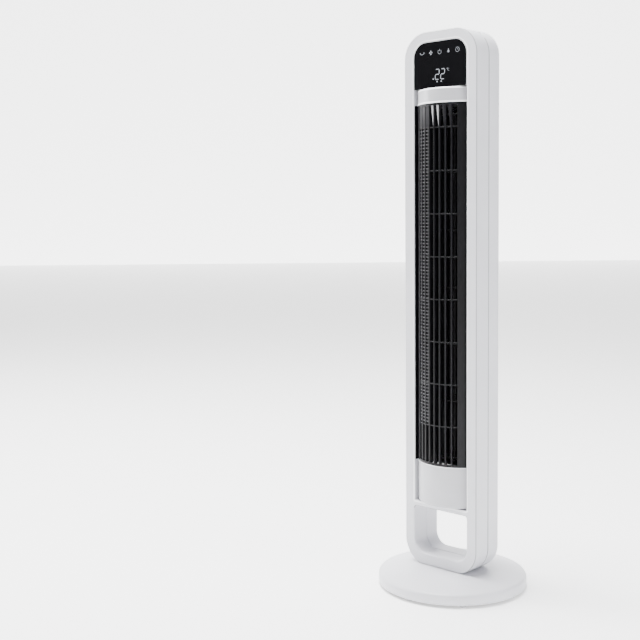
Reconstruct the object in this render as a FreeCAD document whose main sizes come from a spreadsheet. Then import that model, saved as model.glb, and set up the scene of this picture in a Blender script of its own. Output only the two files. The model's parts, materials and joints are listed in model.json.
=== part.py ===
import FreeCAD, Part
import math
import os
from types import SimpleNamespace

import Sketcher
from FreeCAD import Placement, Rotation, Vector

# A free-standing tower fan: a hoop-shaped housing on a round base, with a cross-flow impeller behind a
# convex front grille. Millimetres, +Z up, the front faces -Y, and the origin is on the floor on the
# swing axis. The tower swings on a hub in the base, driven by a geared stepper motor.

SIZES = {
    # Tower hoop
    "tower_height": 1112.0,
    "hoop_half_width": 88.0,
    "hoop_front": 41.0,  # front face, ahead of the swing axis
    "hoop_rear": 36.5,  # rear face, behind the swing axis
    "hoop_corner": 52.0,
    "hoop_flat_cut": 3.3,  # the bottom corners run this far below the flat underside
    "post_width": 23.2,
    "top_bar": 20.0,
    "shell_wall": 2.5,
    "window_corner": 30.0,
    "window_low_corner": 2.0,
    "handle_sill": 22.0,  # height of the handle opening above the hoop's underside
    "handle_height": 95.0,
    "handle_low_corner": 27.0,
    "handle_high_corner": 6.0,
    "cross_bar": 11.0,
    "screw_boss_radius": 4.0,
    "case_screw_radius": 1.5,
    "screw_head_radius": 3.0,
    "screw_head_height": 1.5,
    "screw_hole_spare": 1.0,  # a hole runs this far past its screw
    "hoop_screw_rows": 4,
    "hoop_screw_end": 18.0,  # first and last screw, from where the corner rounding ends
    "hoop_screw_length": 52.0,
    "hoop_head_depth": 5.0,
    "head_play": 0.1,
    # Front panels and display
    "drum_radius": 81.0,
    "drum_behind": 20.0,  # the drum's axis, behind the swing axis
    "drum_half_angle": 51.0,
    "panel_gap": 2.0,
    "lower_panel_height": 83.0,
    "grille_height": 716.0,
    "upper_panel_height": 30.0,
    "lens_thickness": 2.4,
    "lens_gap": 0.3,
    "plate_corner": 1.0,  # the small lower corners of the lens and the rear cover
    "tray_depth": 10.0,
    "tray_wall": 2.0,
    "tray_post_radius": 4.0,
    "tray_post_length": 5.0,
    "tray_post_half_pitch": 45.0,
    "tray_post_low": 17.0,
    "tray_post_high": 28.0,
    "board_thickness": 1.6,
    "board_half_width": 55.0,
    "board_low": 11.0,
    "board_high": 14.0,
    "digit_half_width": 19.5,
    "digit_low": 18.0,
    "digit_height": 32.0,
    "touch_pads": 5,
    "touch_pitch": 21.5,
    "touch_radius": 4.3,
    "touch_below_top": 23.0,
    "receiver_side": 39.0,
    "receiver_width": 6.0,
    "receiver_depth": 4.0,
    "receiver_low": 16.0,
    "receiver_height": 7.0,
    "main_board_half_width": 52.0,
    "main_board_high": 22.0,
    "wifi_side": 26.0,
    "wifi_width": 18.0,
    "wifi_low": 12.0,
    "wifi_height": 24.0,
    "wifi_thickness": 3.0,
    "buzzer_side": 26.0,
    "buzzer_low": 20.0,
    "buzzer_radius": 5.5,
    "buzzer_height": 8.0,
    # Front grille
    "grille_inset": 0.6,
    "grille_wall": 3.0,
    "grille_slots": 8,
    "grille_slot_step": 9.0,
    "grille_slot_width": 8.7,
    "grille_end_ring": 10.0,
    "rib_height": 2.4,
    "rib_pitch": 84.1,
    "rib_count": 8,
    "first_rib": 79.0,  # above the grille's lower edge
    "mesh_thickness": 1.2,
    "mesh_play": 0.1,
    "mesh_edge": 5.0,  # from the grille's ends
    "mesh_side": 5.4,  # degrees past the middle of the first and the last slot that it covers
    "mesh_slots": 3,
    "mesh_border": 1.5,  # degrees
    "mesh_pitch": 13.5,
    "mesh_hole": 10.0,
    # Rear housing and duct
    "housing_radius": 64.2,
    "housing_behind": 27.0,
    "housing_wall": 2.5,
    "housing_front": 28.0,
    "housing_rise": 2.0,  # above the upper panel
    "housing_play": 0.1,
    "cover_gap": 0.5,
    "intake_half_width": 52.0,
    "intake_side": 4.0,  # degrees past the opening
    "intake_slots": 13,
    "intake_slot_step": 8.0,
    "intake_slot_width": 5.0,
    "deck_thickness": 3.0,
    "deck_gap": 1.0,
    "scroll_gap": 6.0,
    "scroll_start": 40.0,
    "scroll_end": 140.0,
    "lip_half_width": 54.4,
    "lip_bevel": 3.0,  # degrees
    "tongue_gap": 3.5,
    "tongue_angle": 75.0,
    "tongue_slope": 3.0,
    "tongue_tip": 3.0,
    "duct_wall": 2.0,
    "power_board_half_width": 37.0,
    "power_board_gap": 2.0,
    # Impeller and its motor
    "impeller_radius": 44.0,
    "impeller_behind": 22.0,
    "impeller_segments": 6,
    "segment_length": 114.0,
    "blade_count": 30,
    "blade_depth": 10.0,
    "blade_thickness": 1.2,
    "blade_bend": 2.5,  # degrees at the middle of the blade
    "blade_lean": 9.0,  # degrees at the outer edge
    "blade_inset": 0.3,
    "disc_lip": 1.0,
    "disc_thickness": 2.0,
    "impeller_clearance": 12.0,
    "drive_boss_radius": 10.0,
    "drive_boss_rise": 4.0,
    "cap_clearance": 7.0,
    "shaft_radius": 4.0,
    "shaft_inset": 1.0,
    "stub_radius": 3.0,
    "stub_rise": 5.0,
    "bearing_radius": 8.0,
    "bearing_height": 4.0,
    "top_bearing_height": 6.0,
    "bearing_play": 0.02,
    "rubber_wall": 4.9,
    "rubber_height": 5.0,
    "deck_bore_play": 0.1,
    "motor_radius": 38.0,
    "motor_height": 55.0,
    "motor_wall": 2.0,
    "rotor_radius": 21.5,
    "air_gap": 0.5,
    "stator_inset": 8.0,
    "rotor_inset": 10.0,
    "stator_play": 0.1,
    "mount_radius": 4.5,
    "mount_height": 4.0,
    "motor_screws": 3,
    "motor_screw_circle": 30.4,
    "motor_screw_reach": 5.0,
    "motor_deck_bore": 12.0,
    # Base
    "base_radius": 150.0,
    "base_height": 39.5,
    "foot_height": 6.0,
    "rim_height": 20.0,
    "base_wall": 3.0,
    "plateau_radius": 70.0,
    "shoulder_radius": 118.0,
    "shoulder_drop": 5.0,
    "rim_round": 7.0,
    "plate_thickness": 2.5,
    "plate_play": 0.3,
    "feet": 8,
    "foot_radius": 7.0,
    "foot_inset": 12.0,
    "foot_peg_radius": 2.8,
    "peg_play": 0.05,
    "weight_inner": 68.0,
    "weight_outer": 124.0,
    "weight_thickness": 7.0,
    "base_screws": 4,
    "base_screw_inset": 16.0,
    "base_screw_reach": 8.0,
    "boss_cover": 0.5,  # a boss stops this far below the cover's outer face
    "boss_root": 1.0,  # a post runs this far into the wall that it stands on
    "cord_bore": 3.6,
    "cord_height": 15.0,
    "grommet_wall": 1.5,
    "grommet_collar": 1.0,
    "grommet_length": 12.0,
    "grommet_recess": 0.5,
    "grommet_seat": 2.0,
    # Swing drive
    "swing_gap": 1.3,  # between the base and the hoop, filled by the thrust washer
    "hub_radius": 22.0,
    "hub_bore": 12.0,
    "bush_wall": 4.0,
    "running_gap": 0.05,
    "flange_thickness": 3.0,
    "flange_overhang": 7.0,
    "bush_overhang": 6.0,
    "washer_overhang": 3.0,
    "washer_play": 0.3,
    "retainer_overhang": 4.0,
    "hub_screws": 4,
    "hub_screw_reach": 8.0,
    "gear_gap": 0.3,
    "tooth_size": 1.0,  # gear module
    "ring_teeth": 60,
    "pinion_teeth": 15,
    "gear_width": 6.0,
    "backlash": 0.2,
    "pressure_angle": 20.0,
    "tooth_foot": 1.25,  # depth below the pitch circle, in modules
    "tooth_root": 0.2,
    "stepper_radius": 14.0,
    "stepper_height": 18.0,
    "stepper_offset": 8.0,
    "stepper_shaft": 2.5,
    "shaft_seat": 6.0,  # how far the shaft runs into the stepper
    "shaft_play": 0.3,
    "ear_reach": 17.5,
    "ear_half_width": 3.5,
    "ear_round": 4.0,
    "ear_thickness": 1.0,
    "ear_screw_reach": 6.0,
}


class Size:
    """A number from the sheet, or worked out from the sheet, with the expression that gives it."""

    def __init__(self, value, text):
        self.value = value
        self.text = text

    def __add__(self, other):
        return Size(self.value + number(other), f"({self.text} + {text(other)})")

    def __radd__(self, other):
        return Size(number(other) + self.value, f"({text(other)} + {self.text})")

    def __sub__(self, other):
        return Size(self.value - number(other), f"({self.text} - {text(other)})")

    def __rsub__(self, other):
        return Size(number(other) - self.value, f"({text(other)} - {self.text})")

    def __mul__(self, other):
        return Size(self.value * number(other), f"({self.text} * {text(other)})")

    def __rmul__(self, other):
        return Size(number(other) * self.value, f"({text(other)} * {self.text})")

    def __truediv__(self, other):
        return Size(self.value / number(other), f"({self.text} / {text(other)})")

    def __rtruediv__(self, other):
        return Size(number(other) / self.value, f"({text(other)} / {self.text})")

    def __neg__(self):
        return Size(-self.value, f"(-{self.text})")


def number(size):
    return size.value if isinstance(size, Size) else float(size)


def text(size):
    return size.text if isinstance(size, Size) else repr(float(size))


def sine(angle):
    return Size(math.sin(math.radians(number(angle))), f"sin({text(angle)})")


def cosine(angle):
    return Size(math.cos(math.radians(number(angle))), f"cos({text(angle)})")


def root(size):
    return Size(math.sqrt(number(size)), f"sqrt({text(size)})")


def polar(radius, angle):
    """The point at a radius and an angle in degrees, counted anticlockwise from +X."""
    return radius * cosine(angle), radius * sine(angle)


def around_front(radius, angle):
    """The point at a radius and an angle in degrees, counted from -Y towards +X."""
    return radius * sine(angle), -(radius * cosine(angle))


def evenly(count, radius, start):
    """Points evenly around the Z axis, the first at an angle from +X."""
    return [polar(radius, start + 360 / count * index) for index in range(int(number(count)))]


doc = FreeCAD.newDocument("tower_fan")
sheet = doc.addObject("Spreadsheet::Sheet", "dims")
nodes = {}
past = 1.0  # a cutting tool runs this far past what it cuts


def fill_sheet():
    for row, (alias, value) in enumerate(SIZES.items(), 1):
        sheet.set(f"A{row}", alias)
        sheet.set(f"B{row}", str(value))
        sheet.setAlias(f"B{row}", alias)
    doc.recompute()
    return SimpleNamespace(**{alias: Size(float(value), f"dims.{alias}") for alias, value in SIZES.items()})


d = fill_sheet()


# ---- Small makers: primitives, booleans, sketches and features --------------------------------------


def place(item, x=0, y=0, z=0, turn=0, about=Vector(0, 0, 1)):
    item.Placement = Placement(Vector(), Rotation(about, turn))
    for axis, size in (("x", x), ("y", y), ("z", z)):
        item.setExpression(f"Placement.Base.{axis}", text(size))
    return item


def cylinder(name, radius, low, high, x=0, y=0):
    """A round bar along Z."""
    item = doc.addObject("Part::Cylinder", name)
    item.setExpression("Radius", text(radius))
    item.setExpression("Height", text(high - low))
    return place(item, x, y, low)


def bar_along_y(name, radius, front, rear, x, z):
    item = doc.addObject("Part::Cylinder", name)
    item.setExpression("Radius", text(radius))
    item.setExpression("Height", text(rear - front))
    return place(item, x, front, z, -90, Vector(1, 0, 0))


def box(name, xs, ys, zs):
    item = doc.addObject("Part::Box", name)
    for side, (low, high) in zip(("Length", "Width", "Height"), (xs, ys, zs)):
        item.setExpression(side, text(high - low))
    return place(item, xs[0], ys[0], zs[0])


def fuse(name, *shapes):
    item = doc.addObject("Part::MultiFuse", name)
    item.Shapes = list(shapes)
    return item


def group(name, shapes):
    """Separate solids kept together, as identical fasteners are."""
    item = doc.addObject("Part::Compound", name)
    item.Links = list(shapes)
    return item


def cut(name, base, *tools):
    item = doc.addObject("Part::Cut", name)
    item.Base = base
    item.Tool = tools[0] if len(tools) == 1 else fuse(name + "_tools", *tools)
    return item


def ring(name, outer, inner, low, high, x=0, y=0):
    return cut(
        name,
        cylinder(name + "_disc", outer, low, high, x, y),
        cylinder(name + "_bore", inner, low, high, x, y),
    )


def keep(name, item):
    """Makes an item one of the fan's sub-parts."""
    item.Label = name
    nodes[name] = item
    return item


def new_body(name):
    return doc.addObject("PartDesign::Body", name + "_body")


def sketch(body, plane, offset=0, turn=0):
    """A sketch on an origin plane, moved along the plane's normal and turned about Z."""
    item = body.newObject("Sketcher::SketchObject", body.Name + "_sketch")
    item.AttachmentSupport = ([f for f in body.Origin.OriginFeatures if f.Role == plane][0], [""])
    item.MapMode = "FlatFace"
    item.AttachmentOffset = Placement(Vector(), Rotation(Vector(0, 1, 0), number(turn)))
    item.setExpression("AttachmentOffset.Base.z", text(offset))
    if isinstance(turn, Size):
        item.setExpression("AttachmentOffset.Rotation.Angle", text(turn))
    return item


def rule(item, *constraint, size=None):
    """Adds a constraint, and ties its value to the sheet."""
    value = () if size is None else (number(size),)
    index = item.addConstraint(Sketcher.Constraint(*constraint, *value))
    if isinstance(size, Size):
        item.setExpression(f"Constraints[{index}]", text(size))


def pin(item, curve, end, x=None, y=None):
    if x is not None:
        rule(item, "DistanceX", -1, 1, curve, end, size=x)
    if y is not None:
        rule(item, "DistanceY", -1, 1, curve, end, size=y)


def line(item, start, end):
    points = [Vector(number(x), number(y), 0) for x, y in (start, end)]
    return item.addGeometry(Part.LineSegment(*points), False)


def arc(item, x, y, radius, start, end):
    circle = Part.Circle(Vector(number(x), number(y), 0), Vector(0, 0, 1), number(radius))
    curve = item.addGeometry(Part.ArcOfCircle(circle, math.radians(start), math.radians(end)), False)
    rule(item, "Radius", curve, size=radius)
    return curve


def polygon(item, corners):
    first = item.GeometryCount
    count = len(corners)
    for index, corner in enumerate(corners):
        line(item, corner, corners[(index + 1) % count])
    for index, (x, y) in enumerate(corners):
        rule(item, "Coincident", first + index, 2, first + (index + 1) % count, 1)
        pin(item, first + index, 1, x, y)
    return item


def rounded_rectangle(item, half_width, low, high, low_corner, high_corner):
    right_low, right_high = half_width - low_corner, half_width - high_corner
    centres = [
        (right_low, low + low_corner, low_corner, -90),
        (right_high, high - high_corner, high_corner, 0),
        (-right_high, high - high_corner, high_corner, 90),
        (-right_low, low + low_corner, low_corner, 180),
    ]
    arcs = [arc(item, x, y, radius, start, start + 90) for x, y, radius, start in centres]
    for curve, (x, y, _, _) in zip(arcs, centres):
        pin(item, curve, 3, x, y)
    sides = [
        line(item, (half_width, low + low_corner), (half_width, high - high_corner)),
        line(item, (right_high, high), (-right_high, high)),
        line(item, (-half_width, high - high_corner), (-half_width, low + low_corner)),
        line(item, (-right_low, low), (right_low, low)),
    ]
    for index, side in enumerate(sides):
        rule(item, "Tangent", arcs[index], 2, side, 1)
        rule(item, "Tangent", side, 2, arcs[(index + 1) % 4], 1)
    return item


def circle(item, radius, x=0, y=0):
    outline = Part.Circle(Vector(number(x), number(y), 0), Vector(0, 0, 1), number(radius))
    curve = item.addGeometry(outline, False)
    rule(item, "Radius", curve, size=radius)
    pin(item, curve, 3, x, y)
    return item


def sector(item, outer, inner, start, end):
    """A band between two radii about the origin. The angles count from -Y towards +X."""
    outside = arc(item, 0, 0, outer, start - 90, end - 90)
    inside = arc(item, 0, 0, inner, start - 90, end - 90)
    first = line(item, around_front(inner, start), around_front(outer, start))
    last = line(item, around_front(outer, end), around_front(inner, end))
    for curve, radius in ((outside, outer), (inside, inner)):
        rule(item, "Coincident", curve, 3, -1, 1)
        pin(item, curve, 1, around_front(radius, start)[0])
        pin(item, curve, 2, around_front(radius, end)[0])
    starts = ((first, 1, inside, 1), (first, 2, outside, 1))
    ends = ((last, 1, outside, 2), (last, 2, inside, 2))
    for joined in starts + ends:
        rule(item, "Coincident", *joined)
    return item


def drum_segment(item, radius, half_angle):
    """The front of a circle about the origin, closed by a chord."""
    curve = arc(item, 0, 0, radius, -90 - number(half_angle), -90 + number(half_angle))
    chord = line(item, around_front(radius, half_angle), around_front(radius, -half_angle))
    rule(item, "Coincident", curve, 3, -1, 1)
    pin(item, curve, 1, around_front(radius, -half_angle)[0])
    pin(item, curve, 2, around_front(radius, half_angle)[0])
    rule(item, "Coincident", curve, 2, chord, 1)
    rule(item, "Coincident", chord, 2, curve, 1)
    return item


def tunnel(item, radius, front):
    """A half circle towards +Y about the origin, with straight legs running forward to a flat front."""
    back = arc(item, 0, 0, radius, 0, 180)
    rule(item, "Coincident", back, 3, -1, 1)
    sides = [
        line(item, (-radius, 0), (-radius, -front)),
        line(item, (-radius, -front), (radius, -front)),
        line(item, (radius, -front), (radius, 0)),
    ]
    rule(item, "Tangent", back, 2, sides[0], 1)
    rule(item, "Coincident", sides[0], 2, sides[1], 1)
    rule(item, "Coincident", sides[1], 2, sides[2], 1)
    rule(item, "Tangent", sides[2], 2, back, 1)
    rule(item, "Vertical", sides[0])
    rule(item, "Horizontal", sides[1])
    rule(item, "Vertical", sides[2])
    pin(item, sides[1], 1, None, -front)
    return item


def pad(body, outline, length, reverse=False):
    item = body.newObject("PartDesign::Pad", body.Name + "_pad")
    item.Profile = outline
    item.Reversed = reverse
    item.setExpression("Length", text(length))
    return item


def pocket(body, outline, depth=None, reverse=False):
    """Cuts against the sketch's normal, or along it when reversed, and right through with no depth."""
    item = body.newObject("PartDesign::Pocket", body.Name + "_pocket")
    item.Profile = outline
    item.Reversed = reverse
    if depth is None:
        item.Type = "ThroughAll"
    else:
        item.setExpression("Length", text(depth))
    return item


def repeat(body, kind, path, features, count, extent):
    """Repeats features about or along the body's own Z axis, over an angle or a length."""
    item = body.newObject(kind, body.Name + "_pattern")
    item.Originals = features
    z_axis = [f for f in body.Origin.OriginFeatures if f.Role == "Z_Axis"][0]
    setattr(item, path, (z_axis, [""]))
    item.setExpression("Occurrences", text(count))
    item.setExpression("Angle" if path == "Axis" else "Length", text(extent))
    body.Tip = item
    return item


def repeat_round(body, feature, count, angle=360):
    return repeat(body, "PartDesign::PolarPattern", "Axis", [feature], count, angle)


def repeat_up(body, feature, count, length):
    return repeat(body, "PartDesign::LinearPattern", "Direction", [feature], count, length)


# ---- Levels and places shared by several sub-parts ---------------------------------------------------

base_floor = d.foot_height
plate_top = base_floor + d.plate_thickness
base_underside = d.base_height - d.base_wall
hoop_low = d.base_height + d.swing_gap
hoop_arc_low = hoop_low - d.hoop_flat_cut
hoop_floor = hoop_low + d.shell_wall
window_half = d.hoop_half_width - d.post_width
window_top = d.tower_height - d.top_bar
handle_low = hoop_low + d.handle_sill
handle_top = handle_low + d.handle_height
window_low = handle_top + d.cross_bar
lower_panel_low = window_low + d.panel_gap
grille_low = lower_panel_low + d.lower_panel_height
grille_high = grille_low + d.grille_height
display_low = grille_high + d.upper_panel_height

duct_radius = d.housing_radius - d.housing_wall
duct_fit = duct_radius - d.housing_play
motor_deck_top = grille_low - d.deck_gap
motor_deck_low = motor_deck_top - d.deck_thickness
motor_top = motor_deck_low - d.mount_height
motor_low = motor_top - d.motor_height
impeller_low = motor_deck_top + d.impeller_clearance
impeller_high = impeller_low + d.impeller_segments * d.segment_length
bearing_deck_low = impeller_high + d.disc_thickness + d.cap_clearance
bearing_deck_top = bearing_deck_low + d.deck_thickness

bush_outer = d.hub_radius + d.running_gap + d.bush_wall
bush_flange_low = base_underside - d.flange_thickness
gear_top = bush_flange_low - d.gear_gap
gear_low = gear_top - d.gear_width
retainer_low = gear_low - d.flange_thickness
gear_distance = (d.ring_teeth + d.pinion_teeth) * d.tooth_size / 2
stepper_y = gear_distance + d.stepper_offset
stepper_top = plate_top + d.stepper_height
hub_screw_circle = (d.hub_radius + d.hub_bore) / 2


# ---- Base --------------------------------------------------------------------------------------------


def base_dome():
    """The turned cover: a flat middle, a gentle shoulder and a rounded rim."""
    body = new_body("base_dome")
    rim_top = base_floor + d.rim_height
    shoulder = d.base_height - d.shoulder_drop
    inner_rim = d.base_radius - d.base_wall
    outline = sketch(body, "XZ_Plane")
    polygon(
        outline,
        [
            (bush_outer, base_underside),
            (d.plateau_radius, base_underside),
            (d.shoulder_radius, shoulder - d.base_wall),
            (inner_rim - d.rim_round / 2, rim_top - d.base_wall),
            (inner_rim, rim_top - d.base_wall - d.rim_round / 2),
            (inner_rim, base_floor),
            (d.base_radius, base_floor),
            (d.base_radius, rim_top),
            (d.shoulder_radius, shoulder),
            (d.plateau_radius, d.base_height),
            (bush_outer, d.base_height),
        ],
    )
    dome = body.newObject("PartDesign::Revolution", "base_dome_revolution")
    dome.Profile = outline
    dome.ReferenceAxis = (outline, ["V_Axis"])
    dome.Angle = 360
    doc.recompute()
    near = 0.01
    rim_edges = [
        f"Edge{index}"
        for index, edge in enumerate(dome.Shape.Edges, 1)
        if abs(edge.BoundBox.ZMax - rim_top.value) < near
        and abs(edge.BoundBox.ZMin - rim_top.value) < near
        and edge.BoundBox.XMax > d.base_radius.value - near
    ]
    rounding = body.newObject("PartDesign::Fillet", "base_dome_rounding")
    rounding.Base = (dome, rim_edges)
    rounding.setExpression("Radius", text(d.rim_round))
    return body


def cover_height(radius):
    """The height of the cover's outer face, between the shoulder and the rim."""
    shoulder = d.base_height - d.shoulder_drop
    fall = (shoulder - base_floor - d.rim_height) / (d.base_radius - d.shoulder_radius)
    return shoulder - (radius - d.shoulder_radius) * fall


def screws(name, places, head_low, shank_low, shank_high):
    """Upright screws with their heads under or over what they clamp."""
    items = []
    for index, (x, y) in enumerate(places, 1):
        head_top = head_low + d.screw_head_height
        head = cylinder(f"{name}_head_{index}", d.screw_head_radius, head_low, head_top, x, y)
        shank = cylinder(f"{name}_shank_{index}", d.case_screw_radius, shank_low, shank_high, x, y)
        items.append(fuse(f"{name}_{index}", head, shank))
    return keep(name, group(name + "_group", items))


def screw_holes(name, places, low, high):
    return [
        cylinder(f"{name}_{index}", d.case_screw_radius, low, high, x, y)
        for index, (x, y) in enumerate(places, 1)
    ]


def bosses(name, places, low, high):
    return [
        cylinder(f"{name}_{index}", d.screw_boss_radius, low, high, x, y)
        for index, (x, y) in enumerate(places, 1)
    ]


def base_screw_places():
    """The screws lie halfway between feet."""
    return evenly(d.base_screws, d.base_radius - d.base_screw_inset, 180 / d.feet)


def foot_places():
    return evenly(d.feet, d.base_radius - d.foot_inset, 0)


def ear_places():
    """The two screws that hold the stepper up to the cover."""
    return [(-d.ear_reach, stepper_y), (d.ear_reach, stepper_y)]


def build_base():
    screw_circle = d.base_radius - d.base_screw_inset
    boss_top = cover_height(screw_circle + d.screw_boss_radius) - d.boss_cover
    shell = fuse(
        "base_shell_fused",
        base_dome(),
        *bosses("base_boss", base_screw_places(), plate_top, boss_top),
        *bosses("stepper_post", ear_places(), stepper_top, base_underside + d.boss_root),
    )
    screw_top = plate_top + d.base_screw_reach
    holes = screw_holes("base_hole", base_screw_places(), base_floor - past, screw_top + d.screw_hole_spare)
    ear_hole_top = stepper_top + d.ear_screw_reach + d.screw_hole_spare
    ear_holes = screw_holes("stepper_hole", ear_places(), stepper_top - past, ear_hole_top)
    grommet_front = d.base_radius - d.grommet_length
    grommet_radius = d.cord_bore + d.grommet_wall

    def along_cord(name, radius, front, rear):
        return bar_along_y(name, radius, front, rear, 0, d.cord_height)

    grommet_hole = along_cord("grommet_hole", grommet_radius, grommet_front, d.base_radius + past)
    keep("base_shell", cut("base_shell_cut", shell, *holes, *ear_holes, grommet_hole))

    plate_radius = d.base_radius - d.base_wall - d.plate_play
    plate = cylinder("base_plate_disc", plate_radius, base_floor, plate_top)
    peg_holes = [
        cylinder(f"foot_hole_{i}", d.foot_peg_radius, base_floor - past, plate_top + past, x, y)
        for i, (x, y) in enumerate(foot_places(), 1)
    ]
    keep("base_plate", cut("base_plate_cut", plate, *holes, *peg_holes))

    weight_top = plate_top + d.weight_thickness
    keep("base_weight", ring("base_weight_ring", d.weight_outer, d.weight_inner, plate_top, weight_top))

    feet = []
    for index, (x, y) in enumerate(foot_places(), 1):
        sole = cylinder(f"foot_pad_{index}", d.foot_radius, 0, base_floor, x, y)
        peg = cylinder(f"foot_peg_{index}", d.foot_peg_radius - d.peg_play, base_floor, plate_top, x, y)
        feet.append(fuse(f"foot_{index}", sole, peg))
    keep("base_feet", group("base_feet_group", feet))
    screws("base_screws", base_screw_places(), base_floor - d.screw_head_height, base_floor, screw_top)

    seat = d.base_radius - d.base_wall - d.grommet_seat
    barrel = along_cord("grommet_barrel", grommet_radius, grommet_front, d.base_radius - d.grommet_recess)
    collar = along_cord("grommet_collar", grommet_radius + d.grommet_collar, grommet_front, seat)
    bore = along_cord("grommet_bore", d.cord_bore, grommet_front - past, d.base_radius + past)
    keep("cord_bush", cut("cord_bush_cut", fuse("cord_bush_fused", barrel, collar), bore))


# ---- Swing drive -------------------------------------------------------------------------------------


def involute(angle):
    """The involute function of a pressure angle, in degrees."""
    tangent = Size(math.tan(math.radians(number(angle))), f"tan({text(angle)})")
    return tangent * 180 / math.pi - angle


def pressure_at(radius, base_circle):
    ratio = base_circle / radius
    return Size(math.degrees(math.acos(number(ratio))), f"(acos({text(ratio)}) / 1 deg)")


def gear(name, teeth, low, bore):
    """A spur gear with involute flanks and a tooth on the +Y side."""
    pitch = teeth * d.tooth_size / 2
    tip = pitch + d.tooth_size
    foot = pitch - d.tooth_foot * d.tooth_size
    base_circle = pitch * cosine(d.pressure_angle)
    half_pitch_angle = 90 / teeth - d.backlash / 2 / pitch * 180 / math.pi
    start_share = 1.0005  # the flank starts just outside the base circle, where the involute is defined

    def flank(radius):
        half = half_pitch_angle + involute(d.pressure_angle) - involute(pressure_at(radius, base_circle))
        return radius, half

    stations = [flank(base_circle * start_share), flank(pitch), flank(pitch + d.tooth_size / 2), flank(tip)]
    stations.insert(0, (foot - d.tooth_root, stations[0][1]))
    right = [polar(radius, 90 - half) for radius, half in stations]
    left = [polar(radius, 90 + half) for radius, half in reversed(stations)]
    body = new_body(name)
    pad(body, circle(circle(sketch(body, "XY_Plane", low), foot), bore), d.gear_width)
    tooth = pad(body, polygon(sketch(body, "XY_Plane", low), right + left), d.gear_width)
    repeat_round(body, tooth, teeth)
    return body


def hub_screw_places():
    """Screws evenly round the hub, turned half a step so that none stands on the X axis."""
    return evenly(d.hub_screws, hub_screw_circle, 180 / d.hub_screws)


def build_hub():
    bush_bore = d.hub_radius + d.running_gap
    sleeve = cylinder("bush_sleeve", bush_outer, bush_flange_low, d.base_height)
    flange = cylinder("bush_flange", bush_outer + d.bush_overhang, bush_flange_low, base_underside)
    hole = cylinder("bush_hole", bush_bore, bush_flange_low - past, d.base_height + past)
    keep("pivot_bush", cut("pivot_bush_cut", fuse("pivot_bush_fused", sleeve, flange), hole))
    washer_radius = bush_outer + d.washer_overhang
    washer_bore = bush_bore + d.washer_play
    keep("thrust_washer", ring("thrust_washer_ring", washer_radius, washer_bore, d.base_height, hoop_low))

    hub_top = hoop_floor + d.flange_thickness
    tube = cylinder("hub_tube", d.hub_radius, gear_low, hub_top)
    hub_flange = cylinder("hub_flange", d.hub_radius + d.flange_overhang, hoop_floor, hub_top)
    hub_hole = cylinder("hub_hole", d.hub_bore, gear_low - past, hub_top + past)
    screw_top = gear_low + d.hub_screw_reach
    places = hub_screw_places()
    holes = screw_holes("hub_screw_hole", places, retainer_low - past, screw_top + d.screw_hole_spare)
    keep("pivot_hub", cut("pivot_hub_cut", fuse("pivot_hub_fused", tube, hub_flange), hub_hole, *holes))
    keep("swing_gear", gear("swing_gear", d.ring_teeth, gear_low, d.hub_radius + d.running_gap))
    retainer = cylinder("retainer_disc", d.hub_radius + d.retainer_overhang, retainer_low, gear_low)
    retainer_bore = cylinder("retainer_bore", d.hub_bore, retainer_low - past, gear_low + past)
    keep("hub_retainer", cut("hub_retainer_cut", retainer, retainer_bore, *holes))
    screws("hub_screws", places, retainer_low - d.screw_head_height, retainer_low, screw_top)


def build_stepper():
    """The swing motor hangs from two posts, and its offset shaft carries the pinion."""
    pinion = gear("swing_pinion", d.pinion_teeth, gear_low, d.stepper_shaft)
    keep("swing_pinion", place(pinion, 0, gear_distance))
    seat = stepper_top - d.shaft_seat
    shaft = cylinder("stepper_shaft_bar", d.stepper_shaft, seat + d.shaft_play, gear_top, 0, gear_distance)
    keep("swing_motor_shaft", shaft)

    can = cylinder("stepper_can", d.stepper_radius, plate_top, stepper_top, 0, stepper_y)
    ear_half = d.ear_reach + d.ear_round
    ear_depth = (stepper_y - d.ear_half_width, stepper_y + d.ear_half_width)
    ear_low = stepper_top - d.ear_thickness
    ear = box("stepper_ear", (-ear_half, ear_half), ear_depth, (ear_low, stepper_top))
    hole_radius = d.stepper_shaft + d.shaft_play
    shaft_hole = cylinder("stepper_shaft_hole", hole_radius, seat, stepper_top + past, 0, gear_distance)
    ear_holes = screw_holes("ear_hole", ear_places(), ear_low - past, stepper_top + past)
    keep("swing_motor", cut("swing_motor_cut", fuse("swing_motor_fused", can, ear), shaft_hole, *ear_holes))
    head_low = ear_low - d.screw_head_height
    screws("swing_motor_screws", ear_places(), head_low, ear_low, stepper_top + d.ear_screw_reach)


# ---- Tower hoop --------------------------------------------------------------------------------------


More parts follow.
